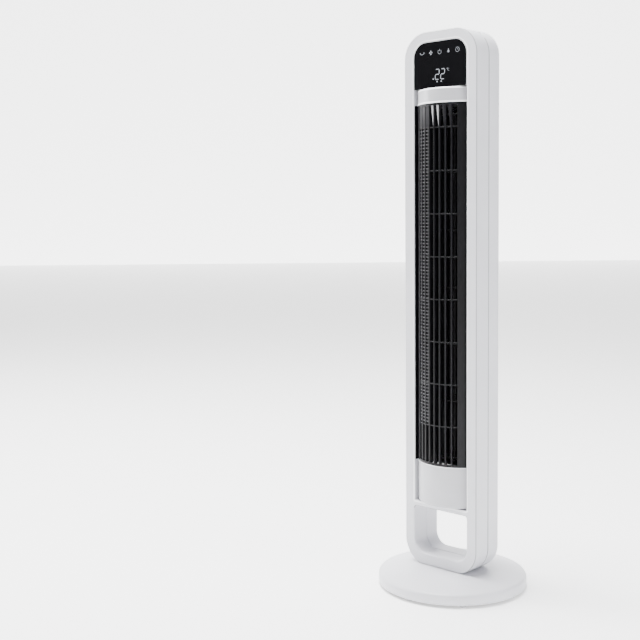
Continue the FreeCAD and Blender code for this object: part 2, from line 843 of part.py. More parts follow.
def hoop_half(name, face, toward_rear):
    """One half of the hoop: a ring of U section, open towards the parting plane at Y = 0.
    The XZ plane's normal points to -Y, so the front half is made from its face towards +Y."""
    body = new_body(name)
    offset = -face if toward_rear else face
    windows = (
        (window_half, handle_low, handle_top, d.handle_low_corner, d.handle_high_corner),
        (window_half, window_low, window_top, d.window_low_corner, d.window_corner),
    )
    outline = sketch(body, "XZ_Plane", offset)
    wide = d.hoop_half_width
    rounded_rectangle(outline, wide, hoop_arc_low, d.tower_height, d.hoop_corner, d.hoop_corner)
    for window in windows:
        rounded_rectangle(outline, *window)
    pad(body, outline, face, reverse=not toward_rear)

    wall = d.shell_wall
    inner_corner = d.hoop_corner - wall
    hollow = sketch(body, "XZ_Plane")
    rounded_rectangle(
        hollow, wide - wall, hoop_arc_low + wall, d.tower_height - wall, inner_corner, inner_corner
    )
    for half, low, high, low_corner, high_corner in windows:
        rounded_rectangle(hollow, half + wall, low - wall, high + wall, low_corner + wall, high_corner + wall)
    pocket(body, hollow, face - wall, reverse=not toward_rear)

    under = sketch(body, "XZ_Plane", offset)
    below = hoop_arc_low - past
    polygon(under, [(-wide, below), (wide, below), (wide, hoop_low), (-wide, hoop_low)])
    pocket(body, under, reverse=toward_rear)

    corner_height = d.hoop_corner - d.hoop_flat_cut
    flat_half = wide - d.hoop_corner + root(d.hoop_corner * d.hoop_corner - corner_height * corner_height)
    floor = sketch(body, "XZ_Plane", offset)
    lower_corners = [(-flat_half, hoop_low), (flat_half, hoop_low)]
    upper_corners = [(flat_half, hoop_floor), (-flat_half, hoop_floor)]
    pad(body, polygon(floor, lower_corners + upper_corners), face, reverse=not toward_rear)
    return body


def hoop_screw_places():
    """Screws evenly down the middle of each post."""
    rows = int(number(d.hoop_screw_rows))
    low = hoop_arc_low + d.hoop_corner + d.hoop_screw_end
    high = d.tower_height - d.hoop_corner - d.hoop_screw_end
    x = d.hoop_half_width - d.post_width / 2
    step = (high - low) / (rows - 1)
    return [(side * x, low + step * row) for row in range(rows) for side in (-1, 1)]


def build_hoop():
    half_wall = d.shell_wall / 2
    hub_hole = cylinder("hoop_hub_hole", d.hub_radius + d.running_gap, hoop_low - past, hoop_floor + past)
    head_y = d.hoop_rear - d.hoop_head_depth
    thread_y = head_y - d.hoop_screw_length
    head_radius = d.screw_head_radius
    front_bosses, rear_bosses, holes, hoop_screws = [], [], [], []
    for i, (x, z) in enumerate(hoop_screw_places(), 1):
        front_end = half_wall - d.hoop_front
        rear_end = d.hoop_rear - half_wall
        front_bosses.append(bar_along_y(f"front_boss_{i}", d.screw_boss_radius, front_end, 0, x, z))
        rear_bosses.append(bar_along_y(f"rear_boss_{i}", d.screw_boss_radius, 0, rear_end, x, z))
        holes.append(bar_along_y(f"hoop_hole_{i}", d.case_screw_radius, thread_y, d.hoop_rear, x, z))
        holes.append(bar_along_y(f"hoop_head_hole_{i}", head_radius, head_y, d.hoop_rear + past, x, z))
        shank = bar_along_y(f"hoop_shank_{i}", d.case_screw_radius, thread_y, head_y, x, z)
        head_end = head_y + d.screw_head_height
        head = bar_along_y(f"hoop_head_{i}", head_radius - d.head_play, head_y, head_end, x, z)
        hoop_screws.append(fuse(f"hoop_screw_{i}", shank, head))
    front = fuse("hoop_front_fused", hoop_half("hoop_front", d.hoop_front, False), *front_bosses)
    keep("frame_front", cut("frame_front_cut", front, hub_hole, *holes))
    rear = fuse("hoop_rear_fused", hoop_half("hoop_rear", d.hoop_rear, True), *rear_bosses)
    keep("frame_rear", cut("frame_rear_cut", rear, hub_hole, *holes))
    keep("frame_screws", group("frame_screws_group", hoop_screws))


# ---- Display -----------------------------------------------------------------------------------------


def rounded_plate(name, low, front, thickness):
    """A plate that fills the top of the window, with the lens gap all round."""
    gap = d.lens_gap
    body = new_body(name)
    outline = sketch(body, "XZ_Plane", -front)
    rounded_rectangle(outline, window_half - gap, low, window_top - gap, d.plate_corner, d.window_corner - gap)
    pad(body, outline, thickness, reverse=True)
    return body


def board(name, half_width, front, low, high):
    """A circuit board, upright and across the tower."""
    depth = (front, front + d.board_thickness)
    return keep(name, box(name + "_box", (-half_width, half_width), depth, (low, high)))


def build_display():
    gap = d.lens_gap
    low = display_low + gap
    lens_rear = d.lens_thickness - d.hoop_front
    keep("display_lens", rounded_plate("display_lens", low, -d.hoop_front, d.lens_thickness))

    wall = d.tray_wall
    tray = rounded_plate("display_tray", low, lens_rear, d.tray_depth)
    inside = sketch(tray, "XZ_Plane", -lens_rear)
    inside_corner = d.window_corner - gap - wall
    inside_top = window_top - gap - wall
    rounded_rectangle(inside, window_half - gap - wall, low + wall, inside_top, d.plate_corner, inside_corner)
    pocket(tray, inside, d.tray_depth - wall)
    tray_back = lens_rear + d.tray_depth
    main_y = tray_back + d.tray_post_length
    post_rows = (display_low + d.tray_post_low, window_top - d.tray_post_high)
    post_places = [(x, z) for x in (-d.tray_post_half_pitch, d.tray_post_half_pitch) for z in post_rows]
    posts = [
        bar_along_y(f"tray_post_{i}", d.tray_post_radius, tray_back, main_y, x, z)
        for i, (x, z) in enumerate(post_places, 1)
    ]
    keep("display_tray", fuse("display_tray_fused", tray, *posts))

    board_low = display_low + d.board_low
    board_y = tray_back - wall - d.board_thickness
    board("display_board", d.board_half_width, board_y, board_low, window_top - d.board_high)
    digit_low = display_low + d.digit_low
    digit_rows = (digit_low, digit_low + d.digit_height)
    digit_sides = (-d.digit_half_width, d.digit_half_width)
    keep("digit_module", box("digit_module_box", digit_sides, (lens_rear, board_y), digit_rows))
    pad_z = window_top - d.touch_below_top
    touch_pads = []
    for index in range(int(number(d.touch_pads))):
        pad_x = (index - (d.touch_pads - 1) / 2) * d.touch_pitch
        pad_name = f"touch_pad_{index + 1}"
        touch_pads.append(bar_along_y(pad_name, d.touch_radius, lens_rear, board_y, pad_x, pad_z))
    keep("touch_pads", group("touch_pads_group", touch_pads))
    receiver_low = display_low + d.receiver_low
    receiver = box(
        "remote_receiver_box",
        (d.receiver_side, d.receiver_side + d.receiver_width),
        (board_y - d.receiver_depth, board_y),
        (receiver_low, receiver_low + d.receiver_height),
    )
    keep("remote_receiver", receiver)

    board("main_board", d.main_board_half_width, main_y, board_low, window_top - d.main_board_high)
    chip_y = main_y + d.board_thickness
    wifi_low = board_low + d.wifi_low
    wifi = box(
        "wifi_module_box",
        (-d.wifi_side, d.wifi_width - d.wifi_side),
        (chip_y, chip_y + d.wifi_thickness),
        (wifi_low, wifi_low + d.wifi_height),
    )
    keep("wifi_module", wifi)
    buzzer_end = chip_y + d.buzzer_height
    buzzer_z = board_low + d.buzzer_low
    keep("buzzer", bar_along_y("buzzer_can", d.buzzer_radius, chip_y, buzzer_end, d.buzzer_side, buzzer_z))


# ---- Convex front ------------------------------------------------------------------------------------


def front_panel(name, low, high, closed_at_top):
    """A white panel over the drum: a curved wall with a ledge at the end away from the grille."""
    body = new_body(name)
    pad(body, drum_segment(sketch(body, "XY_Plane", low), d.drum_radius, d.drum_half_angle), high - low)
    start = low if closed_at_top else high
    outline = circle(sketch(body, "XY_Plane", start), d.drum_radius - d.shell_wall)
    pocket(body, outline, high - low - d.shell_wall, reverse=closed_at_top)
    return keep(name, place(body, 0, d.drum_behind))


def slotted_band(name, outer, half_angle, low, high, slots, slot_step, slot_width):
    """A curved grille: upright slots between closed ends, crossed by level ribs."""
    body = new_body(name)
    inner = outer - d.grille_wall
    first_slot = slot_step * (1 - slots) / 2
    side = number(half_angle)
    pad(body, sector(sketch(body, "XY_Plane", low), outer, inner, -side, side), high - low)
    slot_low = low + d.grille_end_ring
    slot_high = high - d.grille_end_ring
    half = slot_width / 2
    outline = sketch(body, "XZ_Plane", 0, first_slot)
    polygon(outline, [(-half, slot_low), (half, slot_low), (half, slot_high), (-half, slot_high)])
    slot = pocket(body, outline, reverse=True)
    repeat_round(body, slot, slots, slot_step * (slots - 1))
    rib_reach = number(first_slot) - number(slot_step) / 2
    rib_outline = sketch(body, "XY_Plane", low + d.first_rib)
    rib = pad(body, sector(rib_outline, outer - d.rib_height / 2, inner, rib_reach, -rib_reach), d.rib_height)
    repeat_up(body, rib, d.rib_count, d.rib_pitch * (d.rib_count - 1))
    return body


def mesh_insert(radius, start, end):
    """The fine screen behind the leftmost slots, closed at both ends."""
    body = new_body("mesh_insert")
    outer = radius - d.mesh_play
    inner = outer - d.mesh_thickness
    low = grille_low + d.mesh_edge
    high = grille_high - d.mesh_edge
    border = number(d.mesh_border)
    pad(body, sector(sketch(body, "XY_Plane", low), outer, inner, start, end), high - low)
    first = grille_low + d.first_rib + d.mesh_pitch / 2
    outline = sector(sketch(body, "XY_Plane", first), outer + past, inner - past, start + border, end - border)
    hole = pocket(body, outline, d.mesh_hole, reverse=True)
    rows = math.floor(((d.rib_count - 1) * d.rib_pitch / d.mesh_pitch).value)
    repeat_up(body, hole, rows, d.mesh_pitch * (rows - 1))
    return body


def build_front():
    front_panel("lower_panel", lower_panel_low, grille_low, closed_at_top=False)
    front_panel("upper_panel", grille_high, display_low, closed_at_top=True)
    outer = d.drum_radius - d.grille_inset
    step = d.grille_slot_step
    slots = d.grille_slots
    grille = slotted_band(
        "front_grille", outer, d.drum_half_angle, grille_low, grille_high, slots, step, d.grille_slot_width
    )
    keep("front_grille", place(grille, 0, d.drum_behind))
    first_slot = number(step * (1 - slots) / 2)
    start = first_slot - number(d.mesh_side)
    end = first_slot + number(step * (d.mesh_slots - 1) + d.mesh_side)
    keep("mesh_insert", place(mesh_insert(outer - d.grille_wall, start, end), 0, d.drum_behind))


# ---- Rear housing and air duct -----------------------------------------------------------------------


def deck(name, low, bore, holes=()):
    """A floor across the inside of the rear housing, with a hole on the impeller's axis."""
    body = new_body(name)
    legs = d.housing_front + d.housing_behind
    pad(body, tunnel(sketch(body, "XY_Plane", low), duct_fit, legs), d.deck_thickness)
    placed = place(body, 0, d.housing_behind)
    hole = cylinder(name + "_bore", bore, low - past, low + d.deck_thickness + past, 0, d.impeller_behind)
    return keep(name, cut(name + "_cut", placed, hole, *holes))


def motor_screw_places():
    places = evenly(d.motor_screws, d.motor_screw_circle, 90)
    return [(x, y + d.impeller_behind) for x, y in places]


def build_housing():
    body = new_body("rear_housing")
    legs = d.housing_front + d.housing_behind
    low = lower_panel_low
    high = display_low + d.housing_rise
    wall = d.housing_wall
    pad(body, tunnel(sketch(body, "XY_Plane", low), d.housing_radius, legs), high - low)
    inside = sketch(body, "XY_Plane", low + wall)
    pocket(body, tunnel(inside, duct_radius, legs + past), high - low - 2 * wall, reverse=True)
    grille_foot = motor_deck_top + d.deck_gap
    grille_head = bearing_deck_low - d.deck_gap
    intake_low = grille_foot + d.grille_end_ring
    intake_high = grille_head - d.grille_end_ring
    half = d.intake_half_width
    window = sketch(body, "XZ_Plane")
    polygon(window, [(-half, intake_low), (half, intake_low), (half, intake_high), (-half, intake_high)])
    pocket(body, window)
    keep("rear_housing", place(body, 0, d.housing_behind))

    share = half / d.housing_radius
    reach = Size(math.degrees(math.asin(number(share))), f"(asin({text(share)}) / 1 deg)") + d.intake_side
    intake = slotted_band(
        "intake_grille",
        duct_fit,
        reach,
        grille_foot,
        grille_head,
        d.intake_slots,
        d.intake_slot_step,
        d.intake_slot_width,
    )
    keep("intake_grille", place(intake, 0, d.housing_behind, 0, 180))

    cover_y = d.hoop_rear - d.shell_wall
    keep("rear_cover", rounded_plate("rear_cover", high + d.cover_gap, cover_y, d.shell_wall))


def build_duct():
    """The scroll and the tongue that turn the air through the impeller to the front grille."""
    height = bearing_deck_low - motor_deck_top
    scroll_inner = d.impeller_radius + d.scroll_gap
    scroll_outer = scroll_inner + d.duct_wall
    lip_y = -(d.impeller_behind + d.housing_front)
    lip_x = d.lip_half_width
    start, end = number(d.scroll_start), number(d.scroll_end)
    scroll = new_body("scroll_wall")
    wrap = sector(sketch(scroll, "XY_Plane", motor_deck_top), scroll_outer, scroll_inner, start, end)
    pad(scroll, wrap, height)
    lip = [
        around_front(scroll_inner, d.scroll_start),
        (lip_x, lip_y),
        (lip_x + d.duct_wall, lip_y),
        around_front(scroll_outer, d.scroll_start + d.lip_bevel),
    ]
    pad(scroll, polygon(sketch(scroll, "XY_Plane", motor_deck_top), lip), height)
    keep("scroll_wall", place(scroll, 0, d.impeller_behind))

    tongue = new_body("tongue")
    tip_x, tip_y = around_front(d.impeller_radius + d.tongue_gap, -d.tongue_angle)
    side_x = d.housing_play - duct_fit
    wall = d.duct_wall
    outline = [
        (tip_x, tip_y),
        (side_x, tip_y + d.tongue_slope),
        (side_x, tip_y + d.tongue_slope - wall),
        (tip_x - d.tongue_tip, tip_y - wall / 2),
        (-lip_x - wall, lip_y),
        (-lip_x, lip_y),
    ]
    pad(tongue, polygon(sketch(tongue, "XY_Plane", motor_deck_top), outline), height)
    keep("tongue", place(tongue, 0, d.impeller_behind))


def build_power_board():
    """The mains board stands in the chord of the housing below the motor deck."""
    half = d.power_board_half_width
    chord = root(duct_radius * duct_radius - half * half)
    front = d.housing_behind + chord - d.power_board_gap - d.board_thickness
    board("power_board", half, front, lower_panel_low + d.housing_wall, motor_deck_low)


# ---- Fan motor and impeller --------------------------------------------------------------------------


def build_motor():
    y = d.impeller_behind
    wall = d.motor_wall
    reach = motor_top - d.motor_screw_reach
    places = motor_screw_places()
    holes = screw_holes("motor_hole", places, reach - d.screw_hole_spare, motor_deck_top + past)
    deck("motor_deck", motor_deck_low, d.motor_deck_bore, holes)

    can = cylinder("motor_can_outside", d.motor_radius, motor_low, motor_top, 0, y)
    hollow = cylinder("motor_can_inside", d.motor_radius - wall, motor_low + wall, motor_top - wall, 0, y)
    bore = cylinder("motor_can_bore", d.bearing_radius, motor_low - past, motor_top + past, 0, y)
    keep("motor_can", cut("motor_can_cut", can, hollow, bore, *holes))

    stator_low, stator_high = motor_low + d.stator_inset, motor_top - d.stator_inset
    stator_outer = d.motor_radius - wall - d.stator_play
    stator_bore = d.rotor_radius + d.air_gap
    keep("motor_stator", ring("motor_stator_ring", stator_outer, stator_bore, stator_low, stator_high, 0, y))
    bearing_outer = d.bearing_radius - d.bearing_play
    shaft_bore = d.shaft_radius + d.running_gap
    for name, low in (("motor_bearing_low", motor_low), ("motor_bearing_high", motor_top - d.bearing_height)):
        keep(name, ring(name + "_ring", bearing_outer, shaft_bore, low, low + d.bearing_height, 0, y))
    mounts = [
        ring(f"motor_mount_{i}", d.mount_radius, d.case_screw_radius, motor_top, motor_deck_low, x, place_y)
        for i, (x, place_y) in enumerate(places, 1)
    ]
    keep("motor_mounts", group("motor_mounts_group", mounts))
    screws("motor_screws", places, motor_deck_top, reach, motor_deck_top)


def build_top_bearing():
    """A bronze bearing in a rubber ring, in the upper deck."""
    y = d.impeller_behind
    low = bearing_deck_low
    rubber_outer = d.bearing_radius + d.rubber_wall
    deck("bearing_deck", low, rubber_outer + d.deck_bore_play)
    outer = d.bearing_radius - d.bearing_play
    bore = d.stub_radius + d.running_gap
    keep("top_bearing", ring("top_bearing_ring", outer, bore, low, low + d.top_bearing_height, 0, y))
    rubber = ring("bearing_rubber_ring", rubber_outer, d.bearing_radius, low, low + d.rubber_height, 0, y)
    keep("bearing_rubber", rubber)


def blade_outline():
    """A thin forward-leaning blade between two radii, bent at the middle."""
    stations = (
        (d.impeller_radius - d.blade_depth, 0),
        (d.impeller_radius - d.blade_depth / 2, d.blade_bend),
        (d.impeller_radius - d.blade_inset, d.blade_lean),
    )
    near, far = [], []
    for radius, angle in stations:
        half = d.blade_thickness / 2 / radius * 180 / math.pi
        near.append(polar(radius, angle - half))
        far.insert(0, polar(radius, angle + half))
    return near + far


def impeller_segment(index):
    body = new_body(f"impeller_segment_{index}")
    low = impeller_low + (index - 1) * d.segment_length
    disc = sketch(body, "XY_Plane", low)
    circle(disc, d.impeller_radius)
    circle(disc, d.impeller_radius - d.blade_depth - d.disc_lip)
    pad(body, disc, d.disc_thickness)
    blade = pad(body, polygon(sketch(body, "XY_Plane", low), blade_outline()), d.segment_length)
    repeat_round(body, blade, d.blade_count)
    return keep(f"impeller_segment_{index}", place(body, 0, d.impeller_behind))


def build_impeller():
    y = d.impeller_behind
    for index in range(1, int(number(d.impeller_segments)) + 1):
        impeller_segment(index)
    boss_low = motor_deck_top + d.drive_boss_rise
    shaft_bore = cylinder("hub_shaft_bore", d.shaft_radius, boss_low - past, impeller_low + past, 0, y)
    disc = cylinder("drive_disc", d.impeller_radius, impeller_low - d.disc_thickness, impeller_low, 0, y)
    boss = cylinder("drive_boss", d.drive_boss_radius, boss_low, impeller_low, 0, y)
    keep("impeller_hub", cut("impeller_hub_cut", fuse("impeller_hub_fused", disc, boss), shaft_bore))
    cap_top = impeller_high + d.disc_thickness
    cap = cylinder("cap_disc", d.impeller_radius, impeller_high, cap_top, 0, y)
    stub_bore = cylinder("cap_bore", d.stub_radius, impeller_high - past, cap_top + past, 0, y)
    keep("impeller_cap", cut("impeller_cap_cut", cap, stub_bore))
    stub_top = bearing_deck_top + d.stub_rise
    keep("impeller_stub", cylinder("impeller_stub_bar", d.stub_radius, impeller_high, stub_top, 0, y))
    shaft_low = motor_low + d.shaft_inset
    keep("motor_shaft", cylinder("motor_shaft_bar", d.shaft_radius, shaft_low, impeller_low, 0, y))
    low, high = motor_low + d.rotor_inset, motor_top - d.rotor_inset
    keep("motor_rotor", ring("motor_rotor_ring", d.rotor_radius, d.shaft_radius, low, high, 0, y))


# ---- Build, check and write --------------------------------------------------------------------------


def check_document():
    """Stops if any object failed, or a sub-part has no valid solid."""
    failed = [item.Label for item in doc.Objects if {"Invalid", "Error"} & set(item.State)]
    if failed:
        raise RuntimeError(f"failed objects: {failed}")
    for name, item in nodes.items():
        if item.Shape.isNull() or not item.Shape.isValid() or not item.Shape.Solids:
            raise RuntimeError(f"{name} has no valid solid")


def write_parts():
    os.makedirs("parts", exist_ok=True)
    for name, item in nodes.items():
        item.Shape.exportStep(os.path.join("parts", name + ".step"))


def print_summary():
    for name, item in nodes.items():
        volume = item.Shape.Volume / 1000
        bounds = item.Shape.BoundBox
        levels = f"Z {bounds.ZMin:.1f} to {bounds.ZMax:.1f}"
        print(f"{name}: {len(item.Shape.Solids)} solids, {volume:.2f} cm3, {levels}")


build_base()
build_hub()
build_stepper()
build_hoop()
build_display()
build_front()
build_housing()
build_duct()
build_power_board()
build_motor()
build_top_bearing()
build_impeller()
doc.recompute()
check_document()
write_parts()
print_summary()
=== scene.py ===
import json
import math

import bmesh
import bpy
from mathutils import Matrix, Vector
from mathutils.geometry import delaunay_2d_cdt


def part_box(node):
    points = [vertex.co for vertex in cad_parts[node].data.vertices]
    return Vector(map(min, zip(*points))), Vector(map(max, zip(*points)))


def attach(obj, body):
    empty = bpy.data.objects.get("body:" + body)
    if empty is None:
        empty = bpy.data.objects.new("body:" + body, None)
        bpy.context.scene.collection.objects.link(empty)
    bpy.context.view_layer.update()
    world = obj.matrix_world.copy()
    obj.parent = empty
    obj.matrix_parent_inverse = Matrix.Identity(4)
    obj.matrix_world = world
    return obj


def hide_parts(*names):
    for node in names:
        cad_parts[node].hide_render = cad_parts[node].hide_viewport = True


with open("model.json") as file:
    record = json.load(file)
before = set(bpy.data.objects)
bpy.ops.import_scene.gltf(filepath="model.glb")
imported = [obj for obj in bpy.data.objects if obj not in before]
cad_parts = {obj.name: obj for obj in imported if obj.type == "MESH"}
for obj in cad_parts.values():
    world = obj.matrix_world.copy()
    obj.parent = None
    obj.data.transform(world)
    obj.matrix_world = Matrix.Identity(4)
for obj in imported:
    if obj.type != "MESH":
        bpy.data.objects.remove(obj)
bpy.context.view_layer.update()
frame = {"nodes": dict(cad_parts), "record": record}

# A tower fan: a white moulded hoop on a round base, a gloss display, a convex black grille and a fine screen
# behind its left slots. Lengths are written in millimetres and turned to metres when a mesh is made. +Z is
# up, the front faces -Y, and the origin is on the floor on the swing axis.

MM = 0.001


def box_mm(node):
    """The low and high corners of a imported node's box, in millimetres."""
    low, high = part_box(node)
    return [value / MM for value in low], [value / MM for value in high]


# ---- Sizes, from the frame where it has them ---------------------------------------------------------

(_, HOOP_FRONT, HOOP_LOW), (HOOP_HALF, _, TOP) = box_mm("frame_front")
HOOP_REAR = box_mm("frame_rear")[1][1]
HOOP_CORNER = 52.0
FLAT_CUT = 3.3
POST = 23.2
WINDOW_HALF = HOOP_HALF - POST
WINDOW_TOP = TOP - 20.0
WINDOW_CORNER = 30.0
HANDLE_LOW = HOOP_LOW + 22.0
HANDLE_TOP = HANDLE_LOW + 95.0
HANDLE_LOW_CORNER = 27.0
HANDLE_HIGH_CORNER = 6.0
WINDOW_LOW = HANDLE_TOP + 11.0
WINDOW_LOW_CORNER = 2.0

GRILLE_LOW, GRILLE_HIGH = (corner[2] for corner in box_mm("front_grille"))
_, panel_front, LOWER_PANEL_LOW = box_mm("lower_panel")[0]
DISPLAY_LOW = box_mm("upper_panel")[1][2]
DRUM_Y = 20.0
DRUM_RADIUS = DRUM_Y - panel_front
DRUM_SIDE = 51.0
GRILLE_RADIUS = DRUM_RADIUS - 0.6
END_RING = 10.0
SLOTS = 8
SLOT_STEP = 9.0
BAR_WIDTH = 3.9
BAR_DEPTH = 9.0
RIBS = 8
RIB_PITCH = 84.1
RIB_LOW = GRILLE_LOW + 79.0
RIB_HEIGHT = 2.4

(_, HOUSING_FRONT, HOUSING_LOW), (HOUSING_RADIUS, housing_rear, HOUSING_HIGH) = box_mm("rear_housing")
HOUSING_Y = housing_rear - HOUSING_RADIUS
INTAKE_LOW, INTAKE_HIGH = (corner[2] for corner in box_mm("intake_grille"))
INTAKE_HALF = 52.0
INTAKE_SLOTS = 13
INTAKE_STEP = 8.0

(_, _, BASE_LOW), (BASE_RADIUS, _, BASE_TOP) = box_mm("base_shell")
FEET = 8


# ---- Materials ---------------------------------------------------------------------------------------


def linear(hex_colour):
    """An sRGB hex colour as linear RGBA."""
    channels = [int(hex_colour[i : i + 2], 16) / 255 for i in (1, 3, 5)]
    straight = [c / 12.92 if c <= 0.04045 else ((c + 0.055) / 1.055) ** 2.4 for c in channels]
    return (*straight, 1.0)


def add_node(tree, kind, settings=None, links=None):
    """Adds a node. Settings are its attributes or, by name or number, its input values. Links feed its inputs."""
    item = tree.nodes.new(kind)
    for name, value in (settings or {}).items():
        if isinstance(name, str) and hasattr(item, name):
            setattr(item, name, value)
        else:
            item.inputs[name].default_value = value
    for name, source in (links or {}).items():
        tree.links.new(source, item.inputs[name])
    return item


def new_material(name, colour, roughness, ior=1.5, metallic=0.0):
    """A material with one shader, and the tree and shader to add its surface to."""
    material = bpy.data.materials.new(name)
    material.use_nodes = True
    tree = material.node_tree
    tree.nodes.clear()
    settings = {"Base Color": linear(colour), "Roughness": roughness, "Metallic": metallic}
    if not metallic:
        settings["IOR"] = ior
    shader = add_node(tree, "ShaderNodeBsdfPrincipled", settings)
    add_node(tree, "ShaderNodeOutputMaterial", links={"Surface": shader.outputs[0]})
    return material, tree, shader


def noise_at(tree, size_mm, detail=2.0, stretch=(1, 1, 1)):
    """Noise whose lumps are about the given size, on the piece's own coordinates."""
    place = add_node(tree, "ShaderNodeTexCoord")
    scaled = add_node(tree, "ShaderNodeMapping", {"Scale": stretch}, {"Vector": place.outputs["Object"]})
    settings = {"Scale": 1 / (size_mm * MM), "Detail": detail}
    return add_node(tree, "ShaderNodeTexNoise", settings, {"Vector": scaled.outputs[0]})


def vary(tree, source, low, high):
    """Turns a noise's middle range into a number between low and high."""
    settings = {"From Min": 0.3, "From Max": 0.7, "To Min": low, "To Max": high}
    return add_node(tree, "ShaderNodeMapRange", settings, {"Value": source.outputs["Fac"]}).outputs[0]


def tint(tree, source, dark, light):
    """A colour between two hex colours, by a noise."""
    settings = {"data_type": "RGBA", 6: linear(dark), 7: linear(light)}
    factor = vary(tree, source, 0.0, 1.0)
    return add_node(tree, "ShaderNodeMix", settings, {0: factor}).outputs[2]


def grain(tree, shader, size_mm, height_mm):
    """A moulded surface's fine grain, as bump."""
    source = noise_at(tree, size_mm)
    settings = {"Strength": 1.0, "Distance": height_mm * MM}
    bump = add_node(tree, "ShaderNodeBump", settings, {"Height": source.outputs["Fac"]})
    tree.links.new(bump.outputs[0], shader.inputs["Normal"])


def moulded_plastic(name, dark, light, rough_low, rough_high, grain_mm, grain_height_mm, ior=1.53):
    """A moulding whose colour drifts slowly, whose gloss varies, and whose face has a fine grain."""
    material, tree, shader = new_material(name, light, rough_high, ior)
    tree.links.new(tint(tree, noise_at(tree, 60), dark, light), shader.inputs["Base Color"])
    tree.links.new(vary(tree, noise_at(tree, 9), rough_low, rough_high), shader.inputs["Roughness"])
    grain(tree, shader, grain_mm, grain_height_mm)
    return material


def metal(name, colour, roughness, scratch_mm, stretch=(1, 1, 1)):
    """A bare metal whose gloss varies from place to place."""
    material, tree, shader = new_material(name, colour, roughness, metallic=1.0)
    source = noise_at(tree, scratch_mm, 3.0, stretch)
    tree.links.new(vary(tree, source, roughness * 0.8, roughness * 1.25), shader.inputs["Roughness"])
    return material


